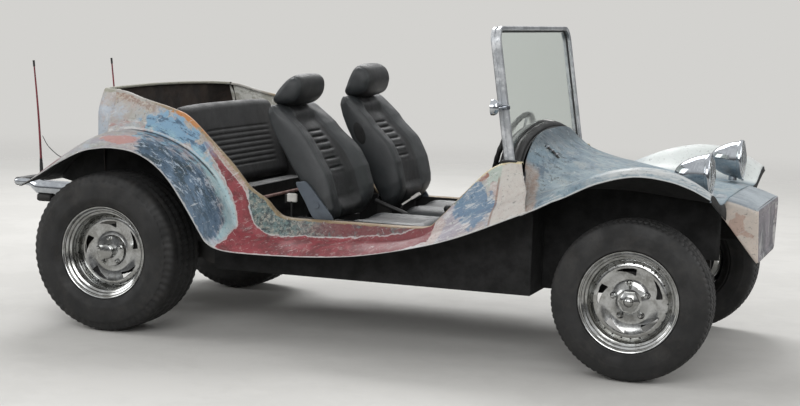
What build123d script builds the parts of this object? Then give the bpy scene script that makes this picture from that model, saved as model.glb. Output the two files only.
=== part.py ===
from build123d import *
import math
import os

# An open four-seat beach buggy: one-piece fibreglass tub and front clip on a steel floor pan.
# Millimetres. X forward, Y to the car's left, Z up, ground at Z = 0, origin under the middle
# of the whole car. Right-hand pieces are made first and mirrored for the left.

# Driving dimensions
front_axle_x = 1335.0
rear_axle_x = -1065.0
front_tyre_r = 337.0
rear_tyre_r = 363.0
front_lip_y = 762.0        # outer lip plane of the front rims
rear_lip_y = 817.0
front_rim_width = 190.0
rear_rim_width = 265.0
rim_lip_r = 211.0
moulding = 6.0             # fibreglass thickness
sheet = 4.0                # steel pan thickness
kingpin_y = 560.0
steer_arm = 125.0          # kingpin to tie rod eye, along the car
cabin_wall_y = 566.0       # outside of the tub's side walls beside the seats
arch_wall_y = 520.0        # the same beside the rear wheels
rim_y = 640.0              # cockpit rim over the sills
panel_y = 660.0            # outside of the rear quarters
cowl_x = 800.0             # seam between front clip and tub
pan_z = 290.0              # underside of the floor pan
tunnel_w = 150.0
tunnel_h = 190.0
tail_x = -1228.0           # rear face of the tub

floor_z = pan_z + sheet
tunnel_z = pan_z + tunnel_h
os.makedirs("parts", exist_ok=True)
nodes = {}


def keep(name, *shapes):
    # A node's solids, one or several, become one file.
    found = [solid for shape in shapes for solid in shape.solids()]
    nodes[name] = found[0] if len(found) == 1 else Compound(children=found)


def keep_pair(name, right):
    keep(name + "_right", right)
    keep(name + "_left", mirror(right, about=Plane.XZ))


def lift(a, b, along, place):
    # A section's two numbers, put in the plane that crosses the given axis.
    return Vector(place, a, b) if along == "x" else Vector(a, place, b)


def normals(points):
    out = []
    for i in range(len(points)):
        a = points[max(i - 1, 0)]
        b = points[min(i + 1, len(points) - 1)]
        dx, dz = b[0] - a[0], b[1] - a[1]
        length = math.hypot(dx, dz)
        out.append((dz / length, -dx / length))
    return out


def chain(points, along, place):
    # An arc through each run of three points, or a line where they are straight.
    edges = []
    for i in range(0, len(points) - 2, 2):
        a, b, c = (lift(*p, along, place) for p in points[i:i + 3])
        bow = (b - a).cross(c - a).length / (c - a).length
        edges.append(ThreePointArc(a, b, c) if bow > 0.2 else Line(a, c))
    return edges


def skin_section(points, thick, along, place):
    # A thin closed section: the outer arcs, and the same arcs moved in by the thickness.
    inner = [(p[0] + n[0] * thick, p[1] + n[1] * thick) for p, n in zip(points, normals(points))]
    back = inner[::-1]
    edges = chain(points, along, place)
    edges.append(Line(lift(*points[-1], along, place), lift(*back[0], along, place)))
    edges += chain(back, along, place)
    edges.append(Line(lift(*back[-1], along, place), lift(*points[0], along, place)))
    return Face(Wire(edges))


def skin(rows, thick, along, ruled=False):
    # rows: (place along the axis, outer points)
    return loft([skin_section(points, thick, along, place) for place, points in rows], ruled=ruled)


def tube(points, radius, bend):
    # A bent round tube with one bend radius.
    path = FilletPolyline(*points, radius=bend)
    return sweep(Plane(origin=path @ 0, z_dir=path % 0) * Circle(radius), path=path)


def rod(a, b, radius):
    a, b = Vector(*a), Vector(*b)
    base = (Align.CENTER, Align.CENTER, Align.MIN)
    return Plane(origin=a, z_dir=b - a) * Cylinder(radius, (b - a).length, align=base)


def block(x0, x1, y0, y1, z0, z1):
    return Pos((x0 + x1) / 2, (y0 + y1) / 2, (z0 + z1) / 2) * Box(x1 - x0, y1 - y0, z1 - z0)


def rounded_block(x0, x1, y0, y1, z0, z1, radius):
    solid = block(x0, x1, y0, y1, z0, z1)
    return fillet(solid.edges(), radius)


def side_plate(points, y0, y1):
    # A flat plate with a side-view outline, between two values of Y.
    face = make_face(Polyline(*[(x, y0, z) for x, z in points], close=True))
    return extrude(face, amount=y1 - y0, dir=(0, 1, 0))


def cross_plate(points, x0, x1):
    # A flat plate with a front-view outline, between two values of X.
    face = make_face(Polyline(*[(x0, y, z) for y, z in points], close=True))
    return extrude(face, amount=x1 - x0, dir=(1, 0, 0))


def plan_prism(points):
    face = make_face(Polyline(*[(x, y, 0) for x, y in points], close=True))
    return extrude(face, amount=1500, dir=(0, 0, 1))


# Floor pan with its centre tunnel and the low frame head that carries the front beam
pan_half = 545.0
pan_rear_x = -620.0
pan_front_x = 860.0
head_end_x = 1434.0


def floor_pan():
    pan = block(pan_rear_x, pan_front_x, -pan_half, pan_half, pan_z, floor_z)
    for side in (-1, 1):
        for k in range(5):
            pan += Pos(-480 + 250 * k, side * 310, floor_z + 4) * Box(110, 320, 8)
    def arch(shrink):
        outline = Pos(0, pan_z + tunnel_h / 2) * RectangleRounded(
            tunnel_w - 2 * shrink, tunnel_h - 2 * shrink, 40 - shrink)
        return extrude(Plane.YZ.offset(pan_rear_x) * outline, amount=pan_front_x + 40 - pan_rear_x)
    pan += arch(0) - arch(sheet)
    pan += block(pan_front_x + 30, head_end_x, -60, 60, pan_z - 20, pan_z + 70)
    pan += block(head_end_x - 60, head_end_x, -125, 125, pan_z - 28, pan_z + 82)
    keep("floor_pan", pan)


# Front beam: two torsion tubes, one above the other, ahead of the wheels
beam_x = front_axle_x + 130
beam_z = (front_tyre_r - 60, front_tyre_r + 90)
beam_tube_r = 30.0
beam_half = 404.0


def front_beam():
    beam = block(head_end_x, beam_x, -125, 125, beam_z[0] - 15, beam_z[0] + 95)
    for z in beam_z:
        beam += rod((beam_x, -beam_half, z), (beam_x, beam_half, z), beam_tube_r)
    for side in (-1, 1):
        tower = side * 380
        beam += block(beam_x - 20, beam_x + 20, tower - 18, tower + 18, beam_z[0], beam_z[1] + 150)
        web = side * 95
        beam += block(beam_x - 30, beam_x + 26, web - 8, web + 8, beam_z[0] - 15, beam_z[1] + 25)
    keep("front_beam", beam)
    arms = []
    for side in (-1, 1):
        for z in beam_z:
            arm = rod((beam_x, side * (beam_half + 1), z), (beam_x, side * 438, z), 32)
            arm += rod((beam_x, side * 424, z), (front_axle_x, side * 500, z + 4), 16)
            arm += rod((front_axle_x, side * 488, z + 4), (front_axle_x, side * 524, z + 4), 19)
            arms.append(arm)
    keep("trailing_arms", *arms)


link_x = front_axle_x - steer_arm
link_z = front_tyre_r + 84
link_half = kingpin_y - 40
arm_z = front_tyre_r + 50
drop_shaft = (1375.0, 230.0)
box_z = beam_z[1] + beam_tube_r


def steering_knuckles():
    z = front_tyre_r
    pin = (front_axle_x, -kingpin_y)
    eye = (link_x, -link_half)
    knuckle = rod((*pin, z - 78), (*pin, z + 112), 22)
    for end in (z - 56, z + 94):
        knuckle += rod((front_axle_x, -kingpin_y + 28, end), (*pin, end), 15)
    knuckle += rod((*pin, z), (front_axle_x, -front_lip_y + 50, z), 16)
    knuckle += rod((front_axle_x, -kingpin_y - 40, z), (front_axle_x, -kingpin_y - 46, z), 112)
    knuckle += rod((*pin, arm_z), (*eye, arm_z), 11)
    knuckle += rod((*eye, arm_z - 12), (*eye, arm_z + 12), 18)
    keep_pair("steering_knuckle", knuckle)
    link = rod((link_x, -link_half, link_z), (link_x, link_half, link_z), 11)
    for y in (-link_half, link_half):
        link += rod((link_x, y, link_z - 13), (link_x, y, link_z + 13), 17)
    link += rod((link_x, drop_shaft[1], link_z - 13), (link_x, drop_shaft[1], link_z + 11), 17)
    keep("tie_rod", link)


wheel_hub = Vector(520, 330, 850)
column_foot = Vector(1405, 240, box_z + 75)
column_axis = (wheel_hub - column_foot).normalized()
column_r = 19.0


def steering():
    shaft = rod(tuple(column_foot), tuple(wheel_hub - column_axis * 50), column_r)
    box = rounded_block(1345, 1470, 185, 275, box_z, box_z + 100, 18)
    keep("steering_box", box)
    keep("steering_column", shaft - box)
    low = link_z + 17
    drop = block(link_x, drop_shaft[0], drop_shaft[1] - 16, drop_shaft[1] + 16, low, low + 12)
    drop += rod((*drop_shaft, low), (*drop_shaft, box_z - 0.5), 20)
    drop += rod((link_x, drop_shaft[1], low), (link_x, drop_shaft[1], low + 14), 20)
    keep("drop_arm", drop)
    plane = Plane(origin=wheel_hub, x_dir=(0, 1, 0), z_dir=column_axis)
    wheel = plane * Torus(178, 11)
    for k in range(3):
        turn = math.radians(90 + 120 * k)
        tip = plane.from_local_coords((172 * math.cos(turn), 172 * math.sin(turn), 0))
        near = plane.from_local_coords((28 * math.cos(turn), 28 * math.sin(turn), -30))
        wheel += rod(tuple(near), tuple(tip), 8)
    wheel += plane * Pos(0, 0, -30) * Cylinder(36, 30)
    keep("steering_wheel", wheel)


def rear_drive():
    x = rear_axle_x
    z = rear_tyre_r
    cross_x = x + 395
    torsion = rod((cross_x, -470, z), (cross_x, 470, z), 45)
    for side in (-1, 1):
        torsion += block(x - 20, cross_x, side * 484 - 4, side * 484 + 4, z - 38, z + 38)
        torsion += rod((cross_x, side * 465, z), (cross_x, side * 492, z), 58)
        torsion += block(x + 110, cross_x, side * 122 - 20, side * 122 + 20, z - 25, z + 25)
        torsion -= rod((x, side * 470, z), (x, side * 500, z), 34)
    keep("rear_torsion_housing", torsion)
    bell = [Plane.YZ.offset(x - at) * (Pos(0, z) * Circle(r)) for at, r in ((125, 165), (40, 118))]
    case = loft(bell)
    case += rod((x - 60, 0, z), (x + 210, 0, z), 90)
    case += rod((x + 180, 0, z), (x + 335, 0, z), 55)
    for side in (-1, 1):
        case += rod((x, side * 70, z), (x, side * 130, z), 95)
        case += rod((x, side * 120, z), (x, side * 500, z), 34)
    keep("transaxle", case)
    # foot and top of each damper
    ends = [((x - 58, 440, z - 20), (x - 90, 440, z + 300)),
            ((beam_x - 70, 418, beam_z[0] + 5), (beam_x - 64, 418, beam_z[1] + 190))]
    shocks = []
    for side in (-1, 1):
        for (fx, fy, fz), (tx, ty, tz) in ends:
            foot, top = Vector(fx, side * fy, fz), Vector(tx, side * ty, tz)
            mid = (foot + top) * 0.5
            shocks.append(rod(tuple(foot), tuple(mid), 22) + rod(tuple(mid), tuple(top), 28))
    keep("shock_absorbers", *shocks)


def engine():
    # A low flat four with its fan on the crankshaft: nothing stands above the tail.
    face = rear_axle_x - 125
    z = rear_tyre_r + 12
    unit = rounded_block(face - 330, face, -115, 115, z - 110, z + 120, 20)
    for side in (-1, 1):
        for k in (0, 1):
            bore_x = face - 95 - 140 * k
            unit += rod((bore_x, side * 100, z + 10), (bore_x, side * 290, z + 10), 58)
        inner, outer = sorted((side * 268, side * 360))
        unit += block(face - 305, face - 25, inner, outer, z - 55, z + 75)
        unit += rod((face - 300, side * 335, z - 20), (face - 30, side * 335, z - 20), 48)
    unit += rod((face - 328, 0, z + 10), (face - 380, 0, z + 10), 165)
    unit += rod((face - 180, 0, z + 100), (face - 180, 0, z + 240), 42)
    keep("engine", unit)
    box_x = face - 300
    can = rod((box_x, -260, 190), (box_x, 260, 190), 55)
    for side in (-1, 1):
        can += tube([(box_x, side * 235, 190), (box_x, side * 235, 262), (box_x + 80, side * 300, 330)],
                    20, 30)
    can += tube([(box_x, 0, 190), (box_x - 90, 0, 190), (box_x - 150, 0, 150)], 20, 40)
    keep("exhaust", can - unit)


# Chrome hoop behind the tail, on two arms from the torsion housing
hoop_r = 22.5
hoop_y = 430.0
hoop_x = -1764.5
hoop_z = 612.0


def tail():
    arm_z = hoop_z - 45
    hoop = [(-1235, -hoop_y, arm_z), (-1560, -hoop_y, arm_z), (hoop_x, -hoop_y, hoop_z),
            (hoop_x, hoop_y, hoop_z), (-1560, hoop_y, arm_z), (-1235, hoop_y, arm_z)]
    bumper = tube(hoop, hoop_r, 70)
    for side in (-1, 1):
        bumper += block(-1240, -1232, side * 430 - 45, side * 430 + 45, arm_z - 40, arm_z + 140)
    keep("rear_bumper", bumper)
    lamps = []
    whips = []
    for side in (-1, 1):
        lamps.append(rod((tail_x, side * 560, 950), (tail_x - 34, side * 560, 950), 45))
        x, y = -1668.0, side * hoop_y
        whip = rod((x, y, hoop_z + 5), (x, y, hoop_z + 60), 10)
        whips.append(whip + rod((x, y, hoop_z + 50), (x - 50, y, 1200), 4.5) - bumper)
    keep("tail_lamps", *lamps)
    keep("whip_antennas", *whips)


# Body lines in side view, each as (x, z) along the car.
fender_root = [(-1455, 680), (-1330, 800), (-1162, 886), (-1000, 912), (-850, 892),
               (-700, 825), (-585, 730), (-510, 625), (-487, 520)]
fender_edge = [(-1462, 645), (-1320, 733), (-1169, 814), (-1010, 845), (-869, 831),
               (-740, 757), (-652, 658), (-575, 545), (-500, 428)]
sill_rim = [(-500, 545), (-250, 565), (0, 567), (250, 566), (430, 574),
            (545, 690), (660, 812), (740, 866), (850, 872)]
sill_mid = [(-500, 490), (-270, 508), (-40, 512), (200, 515), (390, 532),
            (545, 582), (680, 640), (770, 690), (870, 738)]
sill_edge = [(-500, 425), (-280, 411), (-66, 418), (150, 440), (350, 478),
             (550, 535), (700, 592), (800, 643), (890, 688)]
quarter_top = [(-230, 563), (-272, 564), (-296, 586), (-304, 620), (-384, 657), (-462, 742), (-575, 860),
               (-700, 976), (-740, 1014), (-800, 1033), (-992, 1059), (-1174, 1096), (tail_x, 1088)]


def blend_line(a, b, bulge):
    # Half way between two lines, pushed out square to them.
    middle = [((p[0] + q[0]) / 2, (p[1] + q[1]) / 2) for p, q in zip(a, b)]
    return [(p[0] - n[0] * bulge, p[1] - n[1] * bulge) for p, n in zip(middle, normals(middle))]


def rear_fenders():
    crown = blend_line(fender_root, fender_edge, 22)
    roof = skin([(-arch_wall_y, fender_root), (-panel_y - 5, fender_root)], moulding, "y")
    roll = skin([(-panel_y - 5, fender_root), (-775, crown), (-842, fender_edge)], moulding, "y")
    keep_pair("rear_fender", roof + roll)


def under_root(y0, y1):
    # All that lies below the line where the rear fender leaves the body.
    edges = chain(fender_root, "y", y0)
    first, last = fender_root[0], fender_root[-1]
    loop = Polyline((last[0], y0, last[1]), (last[0], y0, 0), (first[0], y0, 0), (first[0], y0, first[1]))
    return extrude(make_face(Wire(edges + loop.edges())), amount=y1 - y0, dir=(0, 1, 0))


def seam_cut(gap):
    # Plan of what lies ahead of the slanted seam beside the hood.
    return plan_prism([(cowl_x + 20 + gap, -480), (cowl_x + 98 + gap, -830), (1900, -830), (1900, -480)])


def quarter_panels():
    rows = [(-rim_y, sill_rim), (-700, sill_mid), (-800, sill_edge)]
    sill = skin([(-cabin_wall_y, sill_rim), (-rim_y, sill_rim)], moulding, "y") + skin(rows, moulding, "y")
    foot = [(tail_x, 700), (-500, 520), (-440, 535), (-232, 557)]
    panel = side_plate(quarter_top + foot, -panel_y, -panel_y + moulding) - under_root(-panel_y, -600)
    behind = block(-600, -468, -900, -500, 300, 700)
    keep_pair("quarter_panel", panel + (sill - seam_cut(0) - behind))


def tub_sides():
    inner = cabin_wall_y - moulding
    front = [(-465, 550), (-495, 500), (-620, 500), (-620, floor_z), (870, floor_z), (870, 640), (820, 760),
             (720, 760), (540, 660), (420, 560), (250, 559), (0, 560), (-250, 558)]
    wall = side_plate(front, -cabin_wall_y, -inner)
    wall += block(-626, -620, -cabin_wall_y, -arch_wall_y + moulding, floor_z, 690)
    rear = [(-1455, 900), (-1455, 655), (tail_x, 605), (-780, 605), (-626, 420), (-626, 900)]
    wall += side_plate(rear, -arch_wall_y, -arch_wall_y + moulding) & under_root(-600, -500)
    keep_pair("tub_side", wall)


def luggage_well():
    inside = arch_wall_y - moulding
    deck = block(tail_x + moulding, -835, -inside, inside, 720, 726)
    wide = panel_y - moulding
    outline = [(-inside, 700), (inside, 700), (inside, 866), (wide, 866), (wide, 1086),
               (-wide, 1086), (-wide, 866), (-inside, 866)]
    back = cross_plate(outline, tail_x, tail_x + moulding)
    for y in (-89, 89):
        back -= rod((tail_x - 5, y, 1000), (tail_x + 15, y, 1000), 3.5)
    keep("luggage_well", deck + back)


# Front clip: x, then the half section from the crown outwards
# columns: x, crown z, barrel y, z, foot y, z, fender top y, z, edge y, z
clip_rows = [
    (800, 985, 400, 938, 560, 790, 680, 700, 800, 640),
    (960, 885, 400, 842, 520, 775, 670, 765, 800, 722),
    (1140, 845, 380, 800, 500, 775, 670, 835, 800, 815),
    (1335, 806, 340, 770, 480, 765, 680, 872, 800, 856),
    (1500, 768, 330, 752, 490, 742, 690, 862, 800, 846),
    (1640, 745, 330, 738, 490, 733, 690, 806, 800, 803),
]
nose_back_x = 1640.0
nose_front_x = 1787.0


def clip_outline(crown_z, barrel_y, barrel_z, foot_y, foot_z, top_y, top_z, edge_y, edge_z):
    mid = ((foot_y + barrel_y) / 2, (foot_z + barrel_z) / 2 + 4)
    half = [(barrel_y * 0.5, crown_z - (crown_z - barrel_z) * 0.27), (barrel_y, barrel_z), mid,
            (foot_y, foot_z), (top_y, top_z), (edge_y, edge_z)]
    return [(-y, z) for y, z in half[::-1]] + [(0, crown_z)] + half


def nose_solid(rows, inset):
    faces = []
    for x, top_y, top_z, low_y, low_z in rows:
        corners = [(top_y, top_z), (low_y, low_z), (-low_y, low_z), (-top_y, top_z)]
        shrunk = [(y - math.copysign(inset, y), z + (inset if z == low_z else -inset)) for y, z in corners]
        faces.append(make_face(Polyline(*[(x, y, z) for y, z in shrunk], close=True)))
    return loft(faces, ruled=True)


def front_clip():
    rows = [(row[0], clip_outline(*row[1:])) for row in clip_rows]
    shell = skin(rows, moulding, "x", ruled=True)
    behind = plan_prism([(cowl_x + 23, -480), (cowl_x + 101, -830), (700, -830), (700, -480)])
    shell -= behind + mirror(behind, about=Plane.XZ)
    keep("front_clip", shell)
    # columns: x, top y, top z, bottom y, bottom z
    outer = nose_solid([(nose_back_x, 345, 744, 332, 655), (nose_front_x, 330, 703, 258, 458)], 0)
    inner = nose_solid([(nose_back_x, 345, 744, 332, 655), (nose_front_x - moulding, 330, 703, 258, 462)],
                       moulding)
    keep("nose_panel", outer - inner)
    # the webs that close the fenders' front edges against the sides of the nose
    low, high = (nose_back_x, -332, 655), (nose_back_x, -345, 737)
    edges = [ThreePointArc((nose_back_x, -800, 803), (nose_back_x, -690, 806), (nose_back_x, -490, 733)),
             Line((nose_back_x, -490, 733), high), Line(high, low),
             Line(low, (nose_back_x, -800, 792)), Line((nose_back_x, -800, 792), (nose_back_x, -800, 803))]
    web = extrude(make_face(Wire(edges)), amount=4, dir=(1, 0, 0)) - outer
    keep("nose_webs", web, mirror(web, about=Plane.XZ))
    # upright inner panels under the hood, from the bulkhead to the nose
    panels = []
    start = pan_front_x + 8
    outline = [(start, 900), (start, 300), (1165, 300), (1195, 480), (1634, 480), (1634, 900)]
    for side in (-1, 1):
        panel = side_plate(outline, side * 358 - 2, side * 358 + 2) - shell
        panels.append(min(panel.solids(), key=lambda piece: piece.center().Z))
    keep("front_inner_panels", *panels)


# Front view of the arched cowl over the dash, as (y, z)
cowl_arch = [(-555, 800), (-500, 880), (-400, 945), (-210, 985), (0, 999), (210, 985),
             (400, 945), (500, 880), (555, 800)]


def cowl_and_dash():
    strip = skin([(700, cowl_arch), (778, cowl_arch)], moulding, "x")
    board = cross_plate([(y, z - 4) for y, z in cowl_arch] + [(555, 765), (-555, 765)], 700, 706)
    gap = rod(tuple(column_foot), tuple(wheel_hub), column_r + 6)
    keep("dash_panel", strip + board - gap)
    half = cabin_wall_y - moulding
    bulkhead = cross_plate([(-half, floor_z), (half, floor_z), (half, 756), (-half, 756)],
                           pan_front_x + 2, pan_front_x + 8)
    arch = Plane.YZ.offset(pan_front_x) * (Pos(0, pan_z + tunnel_h / 2)
                                           * RectangleRounded(tunnel_w, tunnel_h, 40))
    keep("front_bulkhead", bulkhead - extrude(arch, amount=20) - gap)


# Windscreen: foot and head of the posts at (x, z), on the cowl sides at the post's y
post_y = 607.0
post_foot = (770.0, 872.0)
post_head = (682.0, 1426.0)
post_wide = 18.0           # flat section, seen from ahead
post_deep = 44.0           # and along the car


def windscreen():
    fx, fz = post_foot
    hx, hz = post_head
    y = post_y
    slope = (hx - fx) / (hz - fz)
    length = math.hypot(hx - fx, hz - fz) + 80
    drop = length / 2 * (hz - fz) / (length - 80)
    middle = (hx - slope * drop, 0, hz - drop)
    plane = Plane(origin=middle, x_dir=(0, 1, 0), z_dir=(hz - fz, 0, fx - hx))
    outer = plane * RectangleRounded(2 * y + post_wide, length + post_wide, 60 + post_wide / 2)
    inner = plane * RectangleRounded(2 * y - post_wide, length - post_wide, 60 - post_wide / 2)
    frame = extrude(outer - inner, amount=post_deep / 2, both=True)
    base = block(fx - 90, fx + 90, -y - 60, y + 60, fz - 160, fz - 4)
    frame -= base
    frame -= nodes["quarter_panel_right"]
    frame -= nodes["quarter_panel_left"]
    frame = max(frame.solids(), key=lambda piece: piece.volume)
    keep("windscreen_frame", frame)
    pane = extrude(plane * RectangleRounded(2 * y, length, 60), amount=2.5, both=True)
    hood = extrude(Plane.YZ.offset(600) * (Pos(0, -370) * Circle(1386)), amount=400)
    keep("windscreen_glass", pane - hood - frame)
    head = Pos(fx - 56, -y - 75, 1100) * Rot(0, -90, 0) * Cylinder(34, 14)
    arm = rod((fx - 50, -y - 68, 1098), (fx + slope * 228, -y, 1098), 5)
    keep("door_mirror", head + (arm - frame))


def headlamps():
    buckets = []
    lenses = []
    for side in (-1, 1):
        centre = Vector(1597, side * 451, 849)
        aim = Plane(origin=centre, x_dir=(0, 1, 0), z_dir=(1, 0, 0.03))
        outline = [Line((0, -150), (22, -146)), ThreePointArc((22, -146), (72, -82), (90, -6)),
                   Line((90, -6), (95, -6)), Line((95, -6), (95, 6)), Line((95, 6), (0, 6)),
                   Line((0, 6), (0, -150))]
        turn = Plane(origin=centre, x_dir=(0, 1, 0), z_dir=aim.x_dir.cross(aim.z_dir))
        bucket = revolve(turn * make_face(outline), axis=Axis(centre, aim.z_dir))
        bucket += rod((1560, side * 451, 738), (1560, side * 451, 797), 15)
        buckets.append(bucket)
        bow = Polyline((0, 6), (84, 6), (78, 10), (60, 15), (35, 19), (0, 21), close=True)
        lenses.append(revolve(turn * make_face(bow), axis=Axis(centre, aim.z_dir)))
    seated = [bucket - nodes["front_clip"] for bucket in buckets]
    keep("headlamps", *[max(bucket.solids(), key=lambda piece: piece.volume) for bucket in seated])
    keep("headlamp_lenses", *lenses)


seat_y = 330.0
seat_half = 222.0
# side view of a headrest: forward of the back's centre line, and up along it
head_outline = [(-58, 597), (5, 645), (68, 690), (118, 664), (120, 610), (70, 556), (-20, 552)]


def seats():
    rails = []
    # side, seat centre, foot of the back along the car, its lean
    for name, y, foot_x, lean in (("right", -seat_y, -62, 29), ("left", seat_y, -10, 25)):
        cushion = rounded_block(foot_x + 40, foot_x + 452, y - seat_half, y + seat_half, 400, 556, 40)
        keep("seat_cushion_" + name, cushion)
        back = rounded_block(-62, 62, -seat_half, seat_half, 0, 545, 38)
        back -= rounded_block(40, 110, -115, 115, 60, 480, 20)
        head = side_plate(head_outline, -120, 120)
        back += fillet(head.edges(), 16)
        for side in (-60, 60):
            back += rod((0, side, 500), (0, side, 600), 7)
        back = Pos(foot_x, y, 556) * Rot(0, -lean, 0) * back
        keep("seat_back_" + name, back)
        for side in (-1, 1):
            foot = y + side * 180
            rail = block(foot_x - 90, foot_x + 412, foot - 14, foot + 14, floor_z + 8, 398)
            rail += block(foot_x - 90, foot_x - 25, foot - 14, foot + 14, 380, 600)
            rail -= back
            rails.append(min(rail.solids(), key=lambda piece: piece.center().Z))
    keep("seat_frames", *rails)
    half = 500.0
    back = Pos(-710, 0, 672) * Rot(0, -18, 0) * rounded_block(-90, 0, -half, half, 0, 385, 35)
    keep("rear_seat_back", back)
    keep("rear_seat_cushion", rounded_block(-700, -480, -half, half, 560, 668, 35))
    inside = arch_wall_y - moulding
    base = block(-476, -470, -cabin_wall_y + moulding, cabin_wall_y - moulding, tunnel_z, 545)
    base += block(-476, -464, -500, 500, 540, 676)
    base += block(-700, -470, -500, 500, 548, 558)
    keep("rear_seat_base", base)


def controls():
    hand = tube([(330, 0, 486), (300, 0, 600), (250, 0, 760)], 8, 80)
    hand += Pos(250, 0, 770) * Sphere(22)
    hand += rod((330, 0, tunnel_z), (330, 0, 506), 26)
    keep("gear_lever", hand)
    brake = tube([(150, 0, 490), (100, 0, 535), (-60, 0, 590)], 11, 40)
    keep("handbrake", brake + block(125, 185, -16, 16, tunnel_z, 510))
    pedals = []
    for y, w in ((430, 60), (340, 60), (250, 45)):
        lever = rod((800, y, 300), (760, y, 470), 7) + block(788, 812, y - 12, y + 12, floor_z, 312)
        pedals.append(lever + Pos(755, y, 480) * Rot(0, -30, 0) * Box(10, w, 70))
    keep("pedals", *pedals)


# Wheels. columns: name, axle x, tyre radius, lip plane, rim width, tyre bulge, depth of the hub face
wheel_rows = [
    ("front", front_axle_x, front_tyre_r, front_lip_y, front_rim_width, 4, 42),
    ("rear", rear_axle_x, rear_tyre_r, rear_lip_y, rear_rim_width, 22, 85),
]


def revolved(points):
    # points: (distance from the axle, distance inboard of the outer lip)
    return revolve(make_face(Polyline(*[(r, d, 0) for r, d in points], close=True)), axis=Axis.Y)


# swept slot of the wheel's face: radius, degrees clockwise from the top seen from the car's right
slot_outline = [(136, 10), (137.5, 0), (137.5, -12), (137, -24), (135, -28), (128, -20), (120, -8),
                (112, 2), (107, 8), (110, 10.6)]


def rim_solid(width, hub):
    outer = [(rim_lip_r, 0), (rim_lip_r, 8), (197, 14), (190, 30), (176, 36), (172, 50),
             (172, width - 60), (190, width - 30), (197, width - 14), (rim_lip_r, width - 8),
             (rim_lip_r, width)]
    wheel = revolved(outer + [(r - 7, d) for r, d in outer[::-1]])
    disc = [(0, hub - 10), (60, hub - 10), (95, hub + 16), (150, hub - 6), (167, hub + 8),
            (167, hub + 18), (150, hub + 4), (95, hub + 26), (56, hub), (0, hub)]
    face = revolved(disc)
    corners = [(r * math.sin(math.radians(turn)), -100, r * math.cos(math.radians(turn)))
               for r, turn in slot_outline]
    slot = extrude(make_face(Polyline(*corners, close=True)), amount=250, dir=(0, 1, 0))
    for k in range(5):
        face -= Rot(0, 72 * k, 0) * slot
    return wheel + face + rod((0, hub - 48, 0), (0, hub - 8, 0), 32)


def tyre_solid(radius, width, bulge):
    half = [(198, 14.6), (211.6, 9), (212.6, 6), (213.5, -0.5), (rim_lip_r + 45, -bulge),
            (radius - 55, 2 - bulge), (radius - 14, 14 - bulge), (radius - 2, 34 - bulge)]
    far = [(r, width - d) for r, d in half[::-1]]
    return revolved(half + [(radius, width / 2)] + far + [(192, width - 32), (192, 32)])


def wheels():
    for name, x, radius, lip, width, bulge, hub in wheel_rows:
        place = Pos(x, -lip, radius)
        keep_pair("wheel_" + name, place * rim_solid(width, hub))
        keep_pair("tyre_" + name, place * tyre_solid(radius, width, bulge))
        bore = 16.5 if name == "front" else 0.0
        drum = revolved([(bore, hub), (55, hub), (55, hub + 28), (118, hub + 30), (118, hub + 98),
                         (110, hub + 98), (110, hub + 38), (bore, hub + 38)])
        if name == "rear":
            drum += rod((0, hub + 34, 0), (0, lip - 501, 0), 17)
        keep_pair("drum_" + name, place * drum)


floor_pan()
front_beam()
steering_knuckles()
steering()
rear_drive()
engine()
tail()
rear_fenders()
quarter_panels()
tub_sides()
luggage_well()
front_clip()
cowl_and_dash()
windscreen()
headlamps()
seats()
controls()
wheels()

for name, shape in nodes.items():
    export_step(shape, "parts/" + name + ".step")
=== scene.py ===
import math

import bmesh
import bpy
import numpy as np
from mathutils import Matrix, Vector


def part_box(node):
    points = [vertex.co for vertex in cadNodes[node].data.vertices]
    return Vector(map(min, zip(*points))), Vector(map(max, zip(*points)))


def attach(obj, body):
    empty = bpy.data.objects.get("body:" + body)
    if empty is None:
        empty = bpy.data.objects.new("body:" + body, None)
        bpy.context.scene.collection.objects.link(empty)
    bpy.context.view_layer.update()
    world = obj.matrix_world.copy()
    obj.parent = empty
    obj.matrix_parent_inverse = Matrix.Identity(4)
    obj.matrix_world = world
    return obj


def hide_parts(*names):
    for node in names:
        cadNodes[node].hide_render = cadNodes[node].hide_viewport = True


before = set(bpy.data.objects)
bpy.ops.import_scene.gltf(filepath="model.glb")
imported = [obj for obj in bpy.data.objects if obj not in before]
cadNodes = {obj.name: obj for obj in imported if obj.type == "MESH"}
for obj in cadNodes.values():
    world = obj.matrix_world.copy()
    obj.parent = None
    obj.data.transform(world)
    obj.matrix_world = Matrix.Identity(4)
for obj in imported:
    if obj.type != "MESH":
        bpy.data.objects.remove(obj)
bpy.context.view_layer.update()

# An open beach buggy with a sanded, patchy fibreglass body. Metres, X forward, Y to its left.
scene = bpy.context.scene
print("frame loaded,", len(cadNodes), "nodes")


# Camera, lamps and floor
cameraSettings = {
    "place": (2.688, -7.371, 1.483), "yaw": 19.587, "pitch": 6.539, "roll": 1.757,
    "focalPixels": 1659.9, "imageWidth": 800, "sensor": 36.0,
}
lampSettings = {
    # name: place, aim, size across, size up, power
    "backKey": ((-2.5, 5.5, 6.5), (0, 0, 0.4), 5.0, 4.0, 520),
    "sideFill": ((1.5, -8.5, 4.5), (0, 0, 0.5), 7.0, 4.0, 420),
    "tailFill": ((-7.5, -2.5, 4.0), (0, 0, 0.5), 4.0, 4.0, 160),
    "noseFill": ((7.5, 1.5, 3.5), (0, 0, 0.5), 4.0, 3.5, 160),
}
studioTones = {"floor": "cecdca", "floorSecond": "c9c8c5", "backdrop": "d3d2cf", "skyLevel": 0.46,
               "floorSize": 40.0, "fadeFrom": 3.5, "fadeTo": 12.0}


def tone(code):
    # A colour as it is seen on screen, turned into the light values that shaders use
    parts = [int(code[k:k + 2], 16) / 255 for k in (0, 2, 4)]
    return tuple([c / 12.92 if c < 0.04045 else ((c + 0.055) / 1.055) ** 2.4 for c in parts] + [1.0])


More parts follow.
